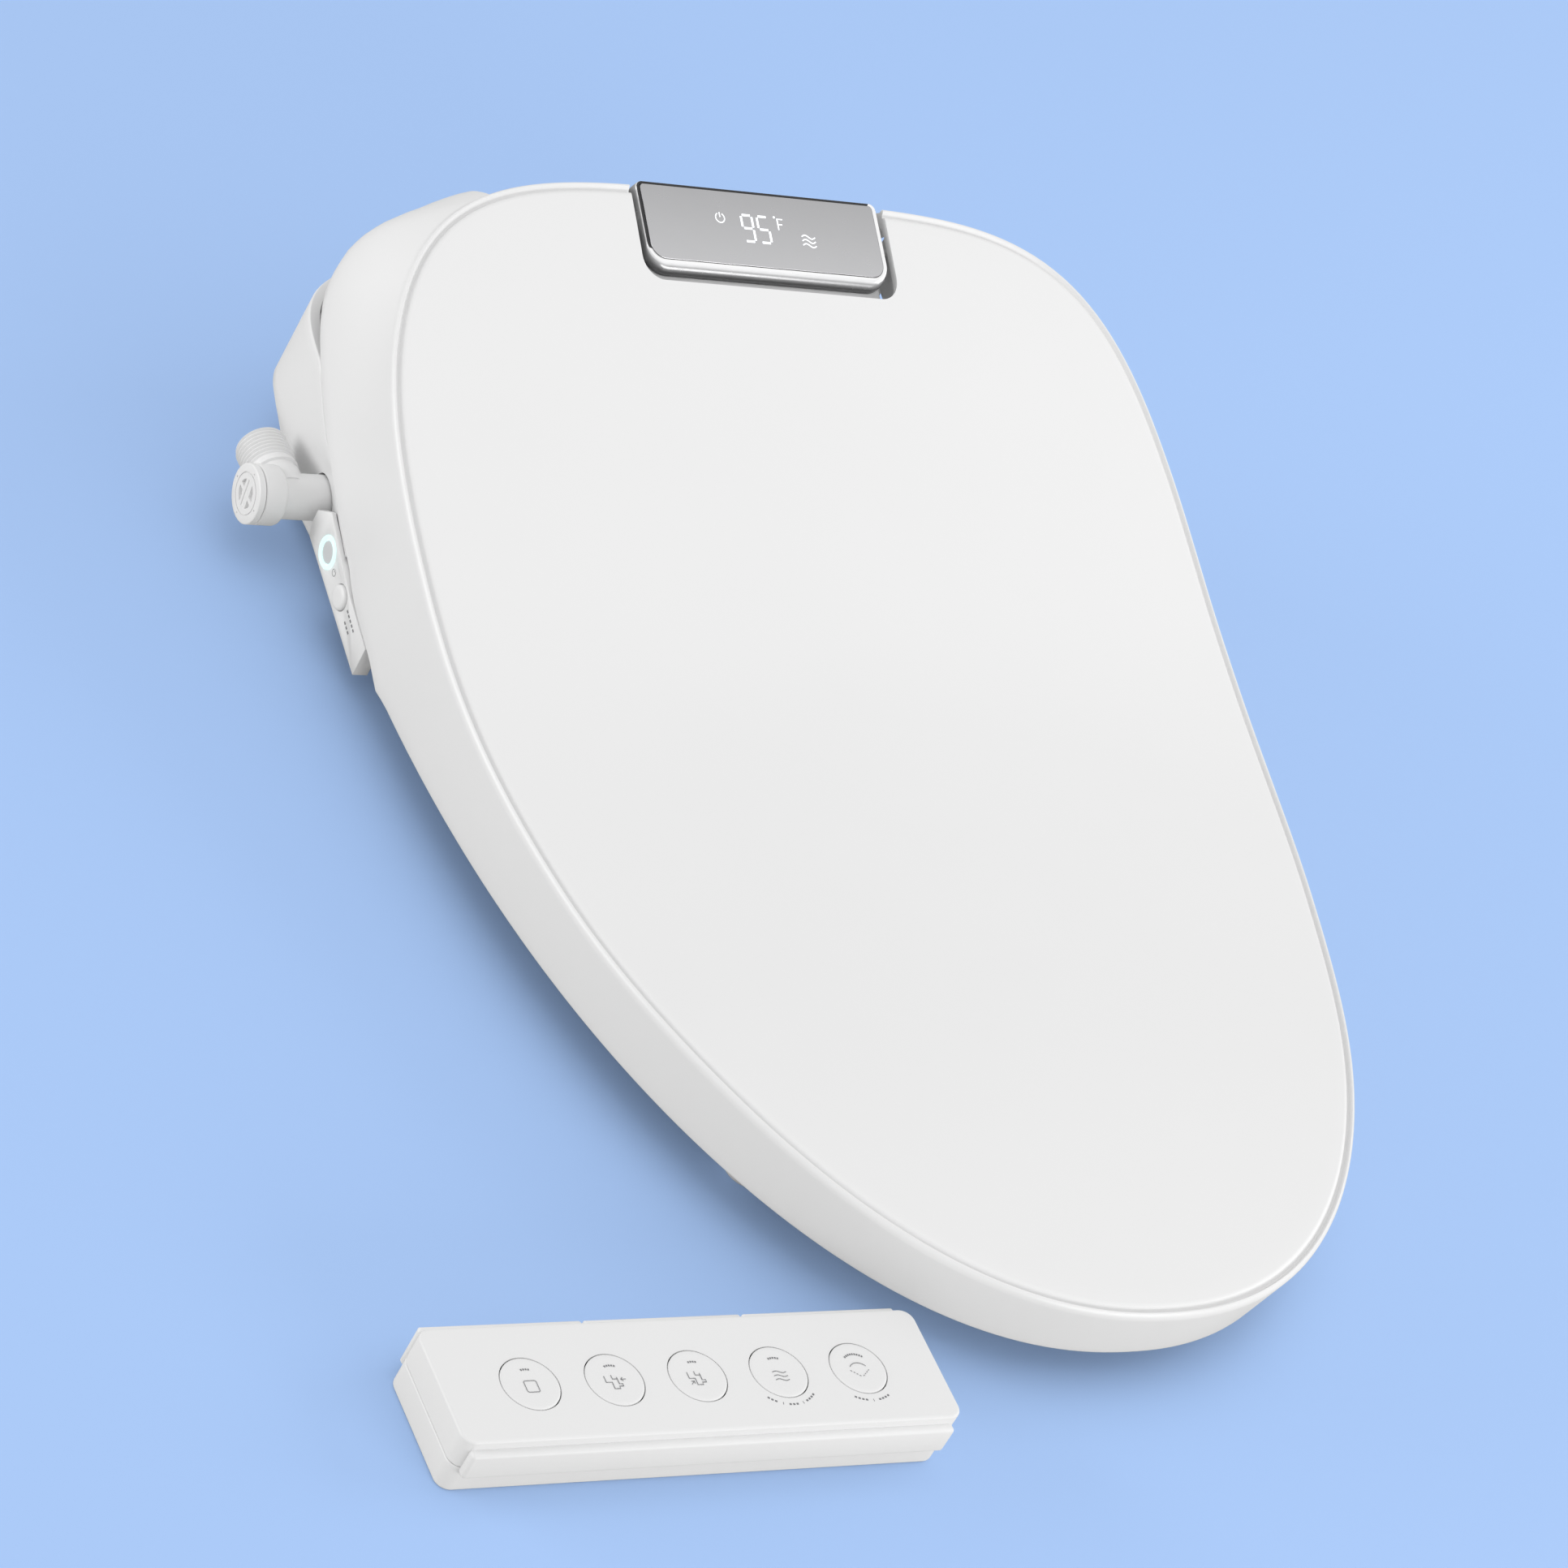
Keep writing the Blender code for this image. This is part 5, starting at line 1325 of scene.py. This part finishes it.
def motor_look(node, axis):
    """A motor can: rolled ends and a small boss."""
    low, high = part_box(node)
    middle = (low + high) / 2
    start, end = middle.copy(), middle.copy()
    start[axis], end[axis] = low[axis], high[axis]
    across = (axis + 1) % 3
    radius = (high[across] - low[across]) / 2
    profile = [(0.0, 0.30), (0.03, 0.32), (0.04, 0.86), (0.06, 0.95), (0.10, 1), (0.80, 1)]
    profile += [(0.81, 0.97), (0.84, 0.97), (0.85, 1), (0.95, 1), (1.0, 0.92)]
    profile = [(share, radius * part) for share, part in profile]
    hold(turned(f"{node}_can", start, end, profile, LOOKS["steel"], 48), BODY_OF[node], "steel", node)


# ---------------------------------------------------------------- other hidden pieces
def chips(node, spots):
    """Blocks and cans standing on a board: each spot is share x, share y, size x, size y, height."""
    low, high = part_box(node)
    made = []
    for sx, sy, dx, dy, dz in spots:
        x, y = low.x + (high.x - low.x) * sx, low.y + (high.y - low.y) * sy
        start, end = (x - dx / 2, y - dy / 2, high.z - 0.0001), (x + dx / 2, y + dy / 2, high.z + dz)
        made.append(soften(block("chip", start, end, CHIP_BLACK), 0.0002, 1))
    return made


SOFTENED = {  # nodes that need only their edges rounded, by the width of the rounding
    0.0007: (
        "solenoid_valve",
        "diverter_valve",
        "power_supply",
        "nozzle_cradle",
        "water_pump",
        "cord_gland",
    ),
    0.0005: (
        "deodoriser_drawer",
        "release_button",
        "carbon_filter",
        "hinge_shaft_left",
        "hinge_shaft_right",
        "lid_damper",
        "seat_damper",
    ),
}


def hidden_pieces():
    spots = [(0.2, 0.3, 0.010, 0.010, 0.0014), (0.5, 0.6, 0.014, 0.008, 0.0020)]
    spots += [(0.8, 0.35, 0.006, 0.006, 0.0050), (0.65, 0.25, 0.004, 0.009, 0.0030)]
    refine("display_board", 0.0003, *chips("display_board", spots), segments=1)
    taller = [(*spot[:4], spot[4] * 1.4) for spot in spots]
    refine("control_board", 0.0003, *chips("control_board", taller), segments=1)
    low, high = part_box("heater_tank")
    bands = []
    for k in range(4):
        x = low.x + (high.x - low.x) * (k + 0.5) / 4
        start = (x - 0.001, low.y + 0.002, high.z - 0.002)
        end = (x + 0.001, high.y - 0.002, high.z + 0.0007)
        bands.append(soften(block("band", start, end, LOOKS["grey_plastic"]), 0.0003, 2))
    refine("heater_tank", 0.0010, *bands)
    for width, nodes in SOFTENED.items():
        for node in nodes:
            refine(node, width)
    for node, axis in (("blower_motor", 2), ("front_nozzle_motor", 0), ("rear_nozzle_motor", 0)):
        motor_look(node, axis)
    drawer_print()


def drawer_print():
    """Three small lines on the drawer's face."""
    low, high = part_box("deodoriser_drawer")
    middle_y, middle_z = (low.y + high.y) / 2, (low.z + high.z) / 2

    def on_drawer(u, v, height=0.0):
        return (high.x + HAIR + height, middle_y + u, middle_z + v)

    marks = wave_lines(0.0, 0.0, 0.0080, 3, 0.0022, 0.0005)
    sign("drawer_mark", marks, 0.0004, on_drawer, PRINT_GREY, "drawer", "white_shell")


# ---------------------------------------------------------------- studio
LIGHTS = {  # place, size, watts
    "top_box": ((0.30, -0.30, 2.2), (2.6, 2.6), 7),
    "right_box": ((2.2, -0.5, 1.1), (1.8, 1.4), 12),
    "left_box": ((-2.2, 0.5, 0.45), (1.6, 0.8), 16),
    "front_box": ((0.7, -2.3, 0.42), (1.6, 0.7), 14),
}
LIT_POINT = Vector((0.0, -0.18, 0.06))
CAMERA_PLACE = (-1.1664, -1.3828, 1.2192)
CAMERA_TURNS = (-43.24, 35.67, 30.25)  # azimuth, elevation and roll in degrees


def floor():
    side = 6.0
    corners = [(-side, -side, 0), (side, -side, 0), (side, side, 0), (-side, side, 0)]
    from_faces("floor", corners, [(0, 1, 2, 3)], painted_floor("pale_floor"))


def softbox(name, place, size, watts):
    light = bpy.data.lights.new(name, "AREA")
    light.shape = "RECTANGLE"
    light.size, light.size_y = size
    light.energy = watts
    holder = bpy.data.objects.new(name, light)
    bpy.context.scene.collection.objects.link(holder)
    holder.location = place
    holder.rotation_euler = (LIT_POINT - Vector(place)).to_track_quat("-Z", "Y").to_euler()


def studio():
    floor()
    bpy.context.scene.view_settings.view_transform = "Standard"
    for name, setting in LIGHTS.items():
        softbox(name, *setting)
    world = bpy.data.worlds.new("studio_air")
    world.use_nodes = True
    air = world.node_tree.nodes["Background"]
    air.inputs["Color"].default_value = (1.0, 1.0, 1.0, 1.0)
    air.inputs["Strength"].default_value = 0.70
    bpy.context.scene.world = world


def camera():
    """From the front left, above, with the frame turned about the line of sight."""
    data = bpy.data.cameras.new("view")
    data.lens = 121.3
    data.sensor_width = 36.0
    data.clip_end = 50.0
    azimuth, elevation, roll = (math.radians(turn) for turn in CAMERA_TURNS)
    flat = math.cos(elevation)
    ahead, down = Vector((-math.sin(azimuth), math.cos(azimuth), 0)) * flat, math.sin(elevation)
    forward = Vector((ahead.x, ahead.y, -down)).normalized()
    level = forward.cross(Vector((0, 0, 1))).normalized()
    upright = level.cross(forward)
    right = level * math.cos(roll) + upright * math.sin(roll)
    up = right.cross(forward)
    turn = Matrix((right, up, -forward)).transposed().to_4x4()
    holder = bpy.data.objects.new("view", data)
    bpy.context.scene.collection.objects.link(holder)
    holder.matrix_world = Matrix.Translation(CAMERA_PLACE) @ turn
    bpy.context.scene.camera = holder


def finish_cad_nodes():
    """Every CAD node that still shows gets its procedural material."""
    for node, piece in frame["nodes"].items():
        piece.data.materials.clear()
        piece.data.materials.append(LOOKS[SLOT_OF[node]])


finish_cad_nodes()
lid()
seat()
tray()
housing_top()
display()
side_panel()
inlet()
remote()
wands()
dryer()
hidden_pieces()
studio()
camera()
